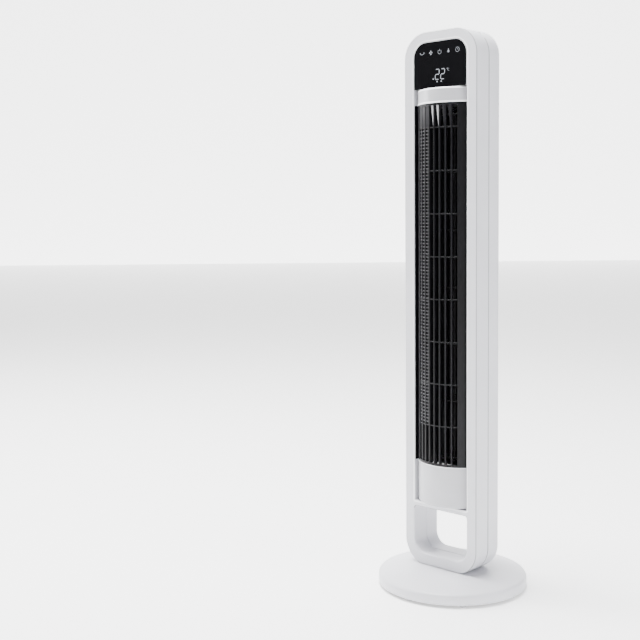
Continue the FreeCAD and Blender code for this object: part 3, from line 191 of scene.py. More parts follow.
def make_materials():
    """One material for each real finish on the fan, and materials for painted highlights and painted shade."""
    kinds = {}
    # Satin white ABS, injection moulded: soft broad highlights and an almost invisible fine grain.
    kinds["white_abs"] = moulded_plastic("satin_white_abs", "#cfcfd4", "#d3d3d8", 0.34, 0.40, 0.9, 0.004)
    # The white panels above and below the grille: the same ABS, glossier and greyer.
    kinds["panel_white"] = moulded_plastic("gloss_white_abs", "#b4b4b8", "#bbbbc0", 0.16, 0.22, 2.0, 0.002)
    # The same ABS on bevels, edges and the display bezel, painted brighter than the faces as a highlight where
    # they catch the light, and glossier.
    kinds["white_edge"] = moulded_plastic("white_abs_painted_highlight", "#f6f6f8", "#fcfcfe", 0.20, 0.26, 2.0, 0.002)
    # Satin black ABS: dark, with clear soft highlights along each bar.
    kinds["black_abs"] = moulded_plastic("satin_black_abs", "#0e0e10", "#131316", 0.28, 0.36, 0.7, 0.006, 1.28)
    # Glass-filled black moulding inside the tower: dull and slightly mottled.
    kinds["inner_black"] = moulded_plastic("dull_black_moulding", "#0c0c0d", "#131314", 0.5, 0.62, 1.2, 0.02, 1.25)
    # Impeller: glass-filled polymer, a little lighter than the duct around it.
    kinds["impeller"] = moulded_plastic("glass_filled_polymer", "#0e0e10", "#151517", 0.45, 0.55, 1.0, 0.02, 1.3)
    # Acetal hub, gears and bush: waxy off-white.
    kinds["acetal"] = moulded_plastic("white_acetal", "#dcdbd2", "#e6e5dc", 0.32, 0.42, 2.0, 0.004, 1.48)
    # Rubber feet and grommet: matt, faintly dusty.
    kinds["foot_rubber"] = moulded_plastic("pale_grey_rubber", "#b4b4b6", "#c0c0c2", 0.7, 0.8, 1.5, 0.02, 1.52)
    kinds["black_rubber"] = moulded_plastic("black_rubber", "#141414", "#1c1c1c", 0.68, 0.8, 1.5, 0.02, 1.52)
    # Gloss acrylic over the display: near black, with damped reflections.
    lens, tree, shader = new_material("gloss_black_acrylic", "#0b0b0d", 0.1, 1.49)
    tree.links.new(vary(tree, noise_at(tree, 25), 0.08, 0.13), shader.inputs["Roughness"])
    shader.inputs["Specular IOR Level"].default_value = 0.12
    kinds["lens"] = lens
    # Light from the display's diodes, slightly cool and uneven through the acrylic.
    glow, tree, shader = new_material("white_display_light", "#8c9096", 0.4, 1.3)
    tree.links.new(tint(tree, noise_at(tree, 4), "#9a9ea4", "#c4c8ce"), shader.inputs["Emission Color"])
    shader.inputs["Emission Strength"].default_value = 0.2
    kinds["glow"] = glow
    # The nearer flares at the head of the grille: the polished black moulding, painted pale as a highlight.
    kinds["pale_facet"] = moulded_plastic("black_abs_painted_pale_highlight", "#a0a0a3", "#a9a9ac", 0.3, 0.38, 1.5, 0.003, 1.3)
    # The hoop's rounded edge and its seam: the same ABS as the shells, painted greyer as shade on the rounding and
    # in the groove, and duller.
    kinds["edge_shade"] = moulded_plastic("white_abs_painted_edge_shade", "#98989c", "#a0a0a4", 0.5, 0.58, 0.9, 0.01)
    # Facets and the farther flares at the head of the grille: a polished dark moulding.
    kinds["dark_facet"] = moulded_plastic("polished_dark_abs", "#1e1e20", "#252528", 0.3, 0.38, 1.5, 0.003, 1.24)
    # The screen: dull black nylon rungs, and a closer gauze behind them.
    kinds["screen"] = moulded_plastic("black_nylon", "#343437", "#3c3c40", 0.42, 0.52, 0.8, 0.01, 1.4)
    kinds["gauze"] = moulded_plastic("black_gauze", "#0b0b0c", "#101011", 0.6, 0.7, 0.8, 0.03)
    # The intake grille is the same ABS, left as moulded, so it is duller than the shell.
    kinds["white_intake"] = moulded_plastic("matt_white_abs", "#c8c8cc", "#cecfd2", 0.46, 0.54, 0.9, 0.01)
    # Metal parts: zinc plate on screws and cans, a raw cast ring for weight, bronze bushes and copper windings.
    kinds["zinc"] = metal("zinc_plated_steel", "#b8babc", 0.34, 1.5)
    kinds["ballast"] = metal("raw_cast_iron", "#5a5856", 0.6, 2.5)
    kinds["bronze"] = metal("sintered_bronze", "#9a7040", 0.42, 0.8)
    kinds["copper"] = metal("enamelled_copper_windings", "#a0522a", 0.38, 1.0, (1, 1, 12))
    # Solder-masked board: green lacquer over copper, with a faint pattern of tracks.
    circuit, tree, shader = new_material("solder_masked_board", "#0c4a2a", 0.3, 1.5)
    tracks = noise_at(tree, 3, 0.0, (1, 1, 6))
    tree.links.new(tint(tree, tracks, "#08381f", "#146038"), shader.inputs["Base Color"])
    kinds["circuit"] = circuit
    return kinds


# ---- Mesh tools --------------------------------------------------------------------------------------

MERGE = 0.005
SHORTEST_EDGE = 0.0005


def link_object(name, data):
    """A new object in the scene."""
    item = bpy.data.objects.new(name, data)
    bpy.context.scene.collection.objects.link(item)
    return item


def new_piece(name, points, faces, flat_faces=(), sharp_degrees=35):
    """A smooth-shaded mesh object from points in millimetres. Flat faces keep their own plane's shading."""
    mesh = bpy.data.meshes.new(name)
    mesh.from_pydata([Vector(point) * MM for point in points], [], faces)
    flat = set(flat_faces)
    for polygon in mesh.polygons:
        polygon.use_smooth = polygon.index not in flat
    mesh.set_sharp_from_angle(angle=math.radians(sharp_degrees))
    return link_object(name, mesh)


def finish_mesh(piece):
    """Merges doubles and turns the faces outwards."""
    work = bmesh.new()
    work.from_mesh(piece.data)
    bmesh.ops.remove_doubles(work, verts=work.verts, dist=MERGE * MM)
    bmesh.ops.dissolve_degenerate(work, edges=work.edges, dist=SHORTEST_EDGE * MM)
    bmesh.ops.recalc_face_normals(work, faces=work.faces)
    work.to_mesh(piece.data)
    work.free()
    return piece


def keep_modified(piece):
    """Replaces a piece's mesh by what its modifiers make of it."""
    bpy.context.view_layer.update()
    seen = piece.evaluated_get(bpy.context.evaluated_depsgraph_get())
    mesh = bpy.data.meshes.new_from_object(seen)
    piece.modifiers.clear()
    piece.data = mesh
    mesh.name = piece.name
    return piece


def join_pieces(name, pieces):
    """One object from several that share materials."""
    with bpy.context.temp_override(active_object=pieces[0], selected_editable_objects=pieces):
        bpy.ops.object.join()
    pieces[0].name = name
    pieces[0].data.name = name
    return pieces[0]


def rounded_outline(half, low, high, low_corner, high_corner, middle=0.0, steps=14, floor=None):
    """A rounded rectangle, anticlockwise from the lower right. Each straight side carries a point near each of
    its ends, which keeps the shading of the side flat."""
    low_corner = max(low_corner, 0.05)
    high_corner = max(high_corner, 0.05)
    spare = min(half - max(low_corner, high_corner), (high - low - low_corner - high_corner) / 2)
    near = max(0.0, min(0.6, spare))
    corners = (
        (half - low_corner, low + low_corner, low_corner, -90),
        (half - high_corner, high - high_corner, high_corner, 0),
        (high_corner - half, high - high_corner, high_corner, 90),
        (low_corner - half, low + low_corner, low_corner, 180),
    )
    outline = []
    for x, z, radius, start in corners:
        angles = [math.radians(start + 90 * step / steps) for step in range(steps + 1)]
        arc = [(x + radius * math.cos(a), z + radius * math.sin(a)) for a in angles]
        first, last = angles[0], angles[-1]
        lead_in = (arc[0][0] + near * math.sin(first), arc[0][1] - near * math.cos(first))
        lead_out = (arc[-1][0] - near * math.sin(last), arc[-1][1] + near * math.cos(last))
        outline += [lead_in, *arc, lead_out]
    if floor is not None:
        outline = [(x, max(z, floor)) for x, z in outline]
    return [(x + middle, z) for x, z in outline]


def inset(shape, amount):
    """The sizes of a rounded rectangle (half, low, high, low corner, high corner, middle), moved inwards."""
    half, low, high, low_corner, high_corner, *middle = shape
    corners = low_corner - amount, high_corner - amount
    return half - amount, low + amount, high - amount, *corners, *middle


def edge_profile(radius, near_face, far_face, relief, steps=7):
    """(inset, depth) pairs from a parting plane to a rounded edge at the face. The edge at the parting plane is
    relieved, which leaves a fine groove between two shells. A narrow level ring ends the rounding."""
    direction = 1 if far_face > near_face else -1
    pairs = [(relief, near_face)]
    pairs += [(0.0, near_face + direction * depth) for depth in (relief, relief + 1.5)]
    for step in range(steps + 1):
        angle = math.radians(90 * step / steps)
        depth = far_face - direction * radius * (1 - math.sin(angle))
        pairs.append((radius * (1 - math.cos(angle)), depth))
    pairs.append((radius + 0.4, far_face))
    return pairs


def bevel_profile(width, depth, near_face, far_face, relief):
    """(inset, depth) pairs from a parting plane to a shallow bevel at the face, softened at its deep edge."""
    direction = 1 if far_face > near_face else -1
    soft = 0.35
    return [
        (relief, near_face),
        (0.0, near_face + direction * relief),
        (0.0, far_face - direction * (depth + soft)),
        (soft, far_face - direction * depth),
        (width, far_face),
        (width + 0.4, far_face),
    ]


def side_faces(first, rows, count):
    """Quads between closed loops of points that follow one another."""
    faces = []
    for start in range(first, first + (rows - 1) * count, count):
        for index in range(count):
            a, b = start + index, start + (index + 1) % count
            faces.append((a, b, b + count, a + count))
    return faces


def ring_solid(name, outer, holes, floor=None):
    """A closed slab in the XZ plane. outer and holes are (shape, profile) pairs, and each profile runs from one
    face of the slab to the other."""
    points, faces, near_loops, far_loops = [], [], [], []

    def wall(shape, profile, sign):
        first = len(points)
        level_floor = floor if sign > 0 else None
        for amount, depth in profile:
            loop = rounded_outline(*inset(shape, sign * amount), floor=level_floor)
            points.extend((x, depth, z) for x, z in loop)
        count = len(loop)
        faces.extend(side_faces(first, len(profile), count))
        near_loops.append(range(first, first + count))
        far_loops.append(range(len(points) - count, len(points)))

    wall(*outer, 1)
    for shape, profile in holes:
        wall(shape, profile, -1)
    smooth_count = len(faces)
    for loops in (near_loops, far_loops):
        faces.extend(fill_between(points, loops))
    return finish_mesh(new_piece(name, points, faces, range(smooth_count, len(faces))))


def fill_between(points, loops):
    """Flat triangles between an outer loop and the loops of holes."""
    order, edges = [], []
    for loop in loops:
        first, count = len(order), len(loop)
        order.extend(loop)
        edges += [(first + i, first + (i + 1) % count) for i in range(count)]
    flat = [Vector((points[index][0], points[index][2])) for index in order]
    corners, _, triangles, origins, _, _ = delaunay_2d_cdt(flat, edges, [], 1, 1e-5)

    def crossed(place, edge):
        a, b = flat[edge[0]], flat[edge[1]]
        if (a.y > place.y) == (b.y > place.y):
            return False
        return place.x < a.x + (b.x - a.x) * (place.y - a.y) / (b.y - a.y)

    faces = []
    for triangle in triangles:
        middle = sum((corners[index] for index in triangle), Vector((0, 0))) / 3
        if sum(crossed(middle, edge) for edge in edges) % 2:
            faces.append(tuple(order[origins[index][0]] for index in triangle))
    return faces


def stacked(name, loops, sharp_degrees=35):
    """A closed piece from level loops of points, one above the other, with flat ends."""
    count = len(loops[0])
    points = [point for loop in loops for point in loop]
    faces = side_faces(0, len(loops), count)
    flat = [len(faces), len(faces) + 1]
    faces += [tuple(reversed(range(count))), tuple(range(len(points) - count, len(points)))]
    return finish_mesh(new_piece(name, points, faces, flat, sharp_degrees))


def swept_bar(name, section, low, high, round_off):
    """An upright bar: a closed section in X and Y, drawn in slightly at both of its ends."""
    middle = Vector((sum(x for x, _ in section) / len(section), sum(y for _, y in section) / len(section)))
    loops = []
    for level, drawn_in in ((low, round_off), (low + round_off, 0), (high - round_off, 0), (high, round_off)):
        away = [(Vector(corner) - middle).normalized() * drawn_in for corner in section]
        loops.append([(x - back.x, y - back.y, level) for (x, y), back in zip(section, away)])
    return stacked(name, loops)


def turned(name, profile, segments, centre=(0, 0)):
    """A closed turned piece about an upright axis, from (radius, height) points."""
    points, faces = [], []
    for segment in range(segments):
        angle = 2 * math.pi * segment / segments
        for radius, level in profile:
            points.append((centre[0] + radius * math.cos(angle), centre[1] + radius * math.sin(angle), level))
    count = len(profile)
    for segment in range(segments):
        start = segment * count
        following = ((segment + 1) % segments) * count
        for index in range(count):
            after = (index + 1) % count
            if profile[index][0] or profile[after][0]:
                faces.append((start + index, following + index, following + after, start + after))
    return finish_mesh(new_piece(name, points, faces, sharp_degrees=30))


def mirrored(right, middle=()):
    """A section from its right-hand points, with its middle points between them and their mirror."""
    return [*((-x, y) for x, y in reversed(right)), *middle, *right]


def around_front(radius, degrees, centre_y=DRUM_Y):
    """The point at an angle from -Y towards +X, about an upright axis on X = 0."""
    angle = math.radians(degrees)
    return radius * math.sin(angle), centre_y - radius * math.cos(angle)


# ---- Geometry Nodes ----------------------------------------------------------------------------------


def repeat_tree():
    """Copies the piece's own mesh in columns, turned about an upright axis, and in rows up it."""
    tree = bpy.data.node_groups.new("repeat_around_and_up", "GeometryNodeTree")
    face = tree.interface
    face.new_socket("Geometry", in_out="OUTPUT", socket_type="NodeSocketGeometry")
    face.new_socket("Geometry", in_out="INPUT", socket_type="NodeSocketGeometry")
    for name, kind in (
        ("Columns", "NodeSocketInt"),
        ("First Angle", "NodeSocketFloat"),
        ("Angle Step", "NodeSocketFloat"),
        ("Rows", "NodeSocketInt"),
        ("Row Pitch", "NodeSocketFloat"),
        ("Axis", "NodeSocketVector"),
        ("Finish", "NodeSocketMaterial"),
    ):
        face.new_socket(name, in_out="INPUT", socket_type=kind)
    given = add_node(tree, "NodeGroupInput").outputs

    def math_node(operation, first, second):
        sources = dict(enumerate((first, second)))
        links = {i: s for i, s in sources.items() if isinstance(s, bpy.types.NodeSocket)}
        settings = {i: s for i, s in sources.items() if i not in links}
        return add_node(tree, "ShaderNodeMath", {"operation": operation, **settings}, links).outputs[0]

    total = math_node("MULTIPLY", given["Columns"], given["Rows"])
    points = add_node(tree, "GeometryNodeMeshLine", links={"Count": total})
    index = add_node(tree, "GeometryNodeInputIndex").outputs[0]
    column = math_node("MODULO", index, given["Columns"])
    row = math_node("FLOOR", math_node("DIVIDE", index, given["Columns"]), 0.0)
    turn = math_node("ADD", given["First Angle"], math_node("MULTIPLY", column, given["Angle Step"]))
    rise = math_node("MULTIPLY", row, given["Row Pitch"])
    lift = add_node(tree, "ShaderNodeCombineXYZ", links={"Z": rise})
    place = add_node(
        tree, "ShaderNodeVectorMath", {"operation": "ADD"}, {0: given["Axis"], 1: lift.outputs[0]}
    )
    moved = add_node(
        tree, "GeometryNodeSetPosition", links={"Geometry": points.outputs[0], "Position": place.outputs[0]}
    )
    spin = add_node(tree, "ShaderNodeCombineXYZ", links={"Z": turn})
    copies = add_node(
        tree,
        "GeometryNodeInstanceOnPoints",
        links={"Points": moved.outputs[0], "Instance": given["Geometry"], "Rotation": spin.outputs[0]},
    )
    real = add_node(tree, "GeometryNodeRealizeInstances", links={"Geometry": copies.outputs[0]})
    painted = add_node(
        tree, "GeometryNodeSetMaterial", links={"Geometry": real.outputs[0], "Material": given["Finish"]}
    )
    add_node(tree, "NodeGroupOutput", links={0: painted.outputs[0]})
    return tree


def repeated(piece, material, columns=1, first=0.0, step=0.0, rows=1, pitch=0.0, axis_y=DRUM_Y):
    """The piece, made relative to its axis, becomes a plain mesh of all its copies."""
    modifier = piece.modifiers.new("repeat", "NODES")
    modifier.node_group = repeat_copies
    sockets = {
        item.name: item.identifier
        for item in repeat_copies.interface.items_tree
        if item.item_type == "SOCKET" and item.in_out == "INPUT"
    }
    values = {
        "Columns": columns,
        "First Angle": math.radians(first),
        "Angle Step": math.radians(step),
        "Rows": rows,
        "Row Pitch": pitch * MM,
        "Axis": (0.0, axis_y * MM, 0.0),
        "Finish": material,
    }
    for name, value in values.items():
        modifier[sockets[name]] = value
    return keep_modified(piece)


def fit(piece, body, material=None, stands_for=()):
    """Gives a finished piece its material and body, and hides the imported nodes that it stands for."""
    if material is not None:
        piece.data.materials.clear()
        piece.data.materials.append(material)
    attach(piece, body)
    if stands_for:
        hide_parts(*stands_for)
    return piece


def paint_where(piece, material, test):
    """Gives a second material to the faces whose centre, in millimetres, and normal pass the test."""
    piece.data.materials.append(material)
    slot_index = len(piece.data.materials) - 1
    for polygon in piece.data.polygons:
        if test(polygon.center / MM, polygon.normal):
            polygon.material_index = slot_index


# ---- Hoop --------------------------------------------------------------------------------------------

HANDLE = (WINDOW_HALF, HANDLE_LOW, HANDLE_TOP, HANDLE_LOW_CORNER, HANDLE_HIGH_CORNER)
WINDOW = (WINDOW_HALF, WINDOW_LOW, WINDOW_TOP, WINDOW_LOW_CORNER, WINDOW_CORNER)
HOOP = (HOOP_HALF, HOOP_LOW - FLAT_CUT, TOP, HOOP_CORNER, HOOP_CORNER)
SEAM = 1.3
SCREW_ROWS = 4
SCREW_END = 18.0
SCREW_HEAD = 2.9


def hoop_screw_places():
    """The screws' distance from the middle, their lowest level and the step between rows."""
    low = HOOP_LOW - FLAT_CUT + HOOP_CORNER + SCREW_END
    high = TOP - HOOP_CORNER - SCREW_END
    return HOOP_HALF - POST / 2, low, (high - low) / (SCREW_ROWS - 1)


def on_window_bevel(centre, normal, width):
    """Whether a face is on the bevel around the window."""
    at_face = HOOP_FRONT < centre.y < HOOP_FRONT + 2 and -0.995 < normal.y < -0.3
    return at_face and centre.z > WINDOW_LOW - width and abs(centre.x) < WINDOW_HALF + width


def on_outer_rounding(centre, normal):
    """Whether a face is on the front's rounded outer edge."""
    outward = Vector((centre.x, 0, centre.z - TOP / 2)).dot(normal) > 0
    return outward and centre.y < HOOP_FRONT + 1.6 and -0.9 < normal.y < -0.1


def on_seam(centre, normal):
    """Whether a face is in the outer groove between the two shells."""
    outward = Vector((centre.x, 0, centre.z - TOP / 2)).dot(normal) > 0
    in_groove = abs(centre.y) < SEAM and 0.3 < abs(normal.y) < 0.95
    return in_groove and outward and (abs(centre.x) > HOOP_HALF - POST / 2 or centre.z > WINDOW_TOP + 9)


def make_hoop():
    """The two moulded halves, which meet in a fine seam down the middle of each side."""
    bevel, bevel_depth = 3.4, 1.3
    front = ring_solid(
        "hoop_front_shell",
        (HOOP, edge_profile(1.8, 0, HOOP_FRONT, SEAM)),
        [
            (HANDLE, edge_profile(3.2, 0, HOOP_FRONT, SEAM)),
            (WINDOW, bevel_profile(bevel, bevel_depth, 0, HOOP_FRONT, SEAM)),
        ],
        floor=HOOP_LOW,
    )
    fit(front, "tower", kinds["white_abs"], ["frame_front"])

    # Painted highlight: the bevel around the window is painted a brighter white.
    paint_where(front, kinds["white_edge"], lambda centre, normal: on_window_bevel(centre, normal, bevel))
    # Painted shade: the front's rounded outer edge and the seam groove are painted greyer.
    paint_where(front, kinds["edge_shade"], on_outer_rounding)
    paint_where(front, kinds["edge_shade"], on_seam)

    screw_x, screw_low, screw_step = hoop_screw_places()
    hole = SCREW_HEAD + 0.25
    holes = []
    for row in range(SCREW_ROWS):
        for side in (-1, 1):
            level = screw_low + row * screw_step
            shape = (hole, level - hole, level + hole, hole, hole, side * screw_x)
            holes.append((shape, edge_profile(0.4, 0, HOOP_REAR, 0.05, steps=3)))
    rear = ring_solid(
        "hoop_rear_shell",
        (HOOP, edge_profile(3.2, 0, HOOP_REAR, SEAM)),
        [
            (HANDLE, edge_profile(3.2, 0, HOOP_REAR, SEAM)),
            (WINDOW, edge_profile(1.2, 0, HOOP_REAR, SEAM)),
            *holes,
        ],
        floor=HOOP_LOW,
    )
    fit(rear, "tower", kinds["white_abs"], ["frame_rear"])
    # Painted shade: the seam groove on the rear shell is painted greyer.
    paint_where(rear, kinds["edge_shade"], on_seam)


def make_hoop_screws():
    """Cross-head screws, sunk in the rear shell."""
    screw_x, screw_low, screw_step = hoop_screw_places()
    top = HOOP_REAR - 3.4
    pair = []
    for side in (-1, 1):
        head = turned(
            "hoop_screws",
            [(0.0, -3.0), (SCREW_HEAD, -3.0), (SCREW_HEAD, -0.6), (SCREW_HEAD * 0.8, -0.15), (0.0, 0.0)],
            segments=20,
        )
        for angle in (0, 90):
            cut_cross(head, angle)
        place = Matrix.Translation(Vector((side * screw_x, top, screw_low)) * MM)
        head.data.transform(place @ upright_to_rear())
        pair.append(head)
    screws = join_pieces("hoop_screws", pair)
    repeated(screws, kinds["zinc"], rows=SCREW_ROWS, pitch=screw_step, axis_y=0)
    fit(screws, "tower", None, ["frame_screws"])


def upright_to_rear():
    """Turns a piece made upright so that its top faces +Y."""
    return Matrix.Rotation(math.radians(-90), 4, "X")


def cut_cross(head, degrees):
    """Cuts one bar of a cross recess into a screw's head."""
    bar = bpy.data.meshes.new("cross_bar")
    work = bmesh.new()
    bmesh.ops.create_cube(work, size=1.0)
    bmesh.ops.scale(work, vec=Vector((3.6, 0.7, 2.4)) * MM, verts=work.verts)
    bmesh.ops.rotate(work, matrix=Matrix.Rotation(math.radians(degrees), 3, "Z"), verts=work.verts)
    work.to_mesh(bar)
    work.free()
    tool = link_object("cross_bar", bar)
    modifier = head.modifiers.new("recess", "BOOLEAN")
    modifier.operation = "DIFFERENCE"
    modifier.object = tool
    modifier.solver = "EXACT"
    keep_modified(head)
    bpy.data.objects.remove(tool)


# ---- Base --------------------------------------------------------------------------------------------


def make_base():
    """The turned cover: level in the middle, falling in a shallow curve to a rounded rim."""
    plateau, hub, rim_round, wall, drop = 70.0, 26.2, 7.0, 3.0, 12.4
    round_centre = BASE_RADIUS - rim_round
    reach = round_centre + 2.2
    fall = drop / (reach - plateau) ** 2

    def level(radius):
        return BASE_TOP - fall * max(0.0, radius - plateau) ** 2

    top = [(hub, BASE_TOP - 0.3), (hub + 0.3, BASE_TOP), (plateau * 0.6, BASE_TOP)]
    top += [(radius, level(radius)) for radius in stepped(plateau, reach, 26)]
    start = math.atan(2 * fall * (reach - plateau))
    centre_z = level(reach) - rim_round * math.cos(start)
    rounding = 12
    for step in range(1, rounding + 1):
        angle = start + (math.pi / 2 - start) * step / rounding
        top.append((round_centre + rim_round * math.sin(angle), centre_z + rim_round * math.cos(angle)))
    side = [(BASE_RADIUS, BASE_LOW + 1.0), (BASE_RADIUS - 0.3, BASE_LOW + 0.3), (BASE_RADIUS - 1.0, BASE_LOW)]
    inside = [
        (BASE_RADIUS - wall, BASE_LOW),
        (BASE_RADIUS - wall, centre_z - 1),
        (round_centre - 2, centre_z + rim_round - wall - 1.0),
        (plateau, BASE_TOP - wall),
        (hub, BASE_TOP - wall),
    ]
    cover = turned("base_cover", top + side + inside, segments=192)
    fit(cover, "base", kinds["white_abs"], ["base_shell"])

    sole = [(0.0, 0.0), (5.6, 0.0), (6.6, 0.5), (7.0, 1.6), (7.0, BASE_LOW), (0.0, BASE_LOW)]
    foot = turned("rubber_feet", sole, segments=32, centre=(BASE_RADIUS - 12.0, 0))
    repeated(foot, kinds["foot_rubber"], columns=FEET, step=360 / FEET, axis_y=0)
    fit(foot, "base", None, ["base_feet"])

    bore, barrel, collar, length = 3.6, 5.05, 6.0, 11.5
    grommet = turned(
        "cord_grommet",
        [
            (bore, 0.4),
            (bore + 0.4, 0.0),
            (collar, 0.0),
            (collar, 6.5),
            (barrel, 6.8),
            (barrel, length - 0.6),
            (barrel - 0.5, length),
            (bore + 0.5, length),
            (bore, length - 0.6),
        ],
        segments=40,
    )
    low, high = box_mm("cord_bush")
    centre = Vector((0, low[1], (low[2] + high[2]) / 2)) * MM
    grommet.data.transform(Matrix.Translation(centre) @ upright_to_rear())
    fit(grommet, "base", kinds["black_rubber"], ["cord_bush"])


# ---- Convex panels and grille ------------------------------------------------------------------------


def drum_outline(drawn_in, steps=72):
    """The outline of a block behind the drum's surface: the arc, two short sides and a flat back."""
    side = DRUM_SIDE - 0.9
    radius = DRUM_RADIUS - drawn_in
    back = HOUSING_FRONT - 0.6
    arc = [around_front(radius, -side + 2 * side * step / steps) for step in range(steps + 1)]
    end_x, end_y = arc[-1]
    right = [(end_x + 0.75, end_y + 0.45), (end_x + 1.1, end_y + 1.6), (end_x + 1.1, back)]
    return mirrored(right, arc)


def drum_block(name, levels):
    """A closed block under the drum's surface, from (height, drawn in) levels."""
    loops = [[(x, y, level) for x, y in drum_outline(drawn_in)] for level, drawn_in in levels]
    return stacked(name, loops, 40)


def quarter(low, radius, drawn_in, upward, steps=6):
    """Levels of a rounded upper or lower edge, which starts or ends at a height."""
    levels = []
    for step in range(steps + 1):
        angle = math.radians(90 * step / steps)
        rise = radius * math.sin(angle)
        levels.append((low + (rise if upward else -rise), drawn_in + radius * (1 - math.cos(angle))))
    return levels if upward else list(reversed(levels))


def make_panels():
    """White panels above and below the grille. Each has a soft far edge and a raised lip beside the grille."""
    face, lip, soft = 0.9, 2.2, 3.6
    upper = [
        (GRILLE_HIGH + 0.1, 0.5),
        (GRILLE_HIGH + 0.5, 0.05),
        (GRILLE_HIGH + lip, 0.0),
        (GRILLE_HIGH + lip + 1.3, face),
        (GRILLE_HIGH + lip + 2.0, face),
        (DISPLAY_LOW - soft - 0.8, face),
        *quarter(DISPLAY_LOW - soft, soft, face, True),
    ]
    panel = drum_block("upper_front_panel", upper)
    fit(panel, "tower", kinds["panel_white"], ["upper_panel"])

    def on_upper_edges(centre, normal):
        return centre.z < GRILLE_HIGH + lip + 1.4 or (centre.z > DISPLAY_LOW - soft and normal.z < 0.99)

    # Painted highlight: the lip beside the grille and the soft far edge are painted a brighter white.
    paint_where(panel, kinds["white_edge"], on_upper_edges)
    lower = [
        *quarter(LOWER_PANEL_LOW + soft, soft, face, False),
        (LOWER_PANEL_LOW + soft + 0.8, face),
        (GRILLE_LOW - lip - 1.0, face),
        (GRILLE_LOW - lip - 0.4, face),
        (GRILLE_LOW - lip + 0.5, 0.25),
        (GRILLE_LOW - 1.1, 0.1),
        (GRILLE_LOW - 0.4, 0.5),
        (GRILLE_LOW - 0.1, 1.1),
    ]
    panel = drum_block("lower_front_panel", lower)
    fit(panel, "tower", kinds["panel_white"], ["lower_panel"])
    # Painted highlight: the lip beside the grille is painted a brighter white.
    paint_where(panel, kinds["white_edge"], lambda centre, normal: centre.z > GRILLE_LOW - 1.2)


def cell_faces(columns, rows, solid, outer, inner, capped=True):
    """Faces of a thin wall made of the solid cells of a grid, with a rim wherever a cell has no neighbour. outer
    and inner give a grid corner's point. Without capped, the first and last rows have no rim."""

    def has(column, row):
        return 0 <= column < columns and 0 <= row < rows and solid(column, row)

    faces = []
    for column in range(columns):
        for row in range(rows):
            if not solid(column, row):
                continue
            corners = [(column, row), (column + 1, row), (column + 1, row + 1), (column, row + 1)]
            faces.append(tuple(outer(*corner) for corner in corners))
            faces.append(tuple(inner(*corner) for corner in reversed(corners)))
            beside = [(column, row - 1), (column + 1, row), (column, row + 1), (column - 1, row)]
            for side, cell in enumerate(beside):
                if not has(*cell) and (capped or 0 <= cell[1] < rows):
                    first, second = corners[side], corners[(side + 1) % 4]
                    faces.append((outer(*second), outer(*first), inner(*first), inner(*second)))
    return faces


def banded_frame(name, outer, inner, angles, levels, centre_y=0.0, solid=lambda column, row: True):
    """A closed curved frame between two radii. solid(column, row) says which cells of its grid are filled."""
    points, index = [], {}

    def point(column, row, radius):
        key = (column, row, radius)
        if key not in index:
            index[key] = len(points)
            points.append((*around_front(radius, angles[column], centre_y), levels[row]))
        return index[key]

    faces = cell_faces(
        len(angles) - 1,
        len(levels) - 1,
        solid,
        lambda column, row: point(column, row, outer),
        lambda column, row: point(column, row, inner),
    )
    return finish_mesh(new_piece(name, points, faces))


def soften(piece, width_mm):
    """Rounds a piece's edges with a bevel, applied to its mesh."""
    modifier = piece.modifiers.new("soft_edges", "BEVEL")
    modifier.width = width_mm * MM
    modifier.segments = 2
    modifier.limit_method = "ANGLE"
    modifier.angle_limit = math.radians(40)
    modifier.harden_normals = False
    return keep_modified(piece)


def stepped(low, high, count):
    """Evenly spaced values with both ends."""
    return [low + (high - low) * step / count for step in range(count + 1)]


GRILLE_OPEN = SLOT_STEP * SLOTS / 2 - 1.4
GRILLE_RING = 4.6
TOP_RIB = RIB_LOW + RIB_PITCH * (RIBS - 1) + RIB_HEIGHT


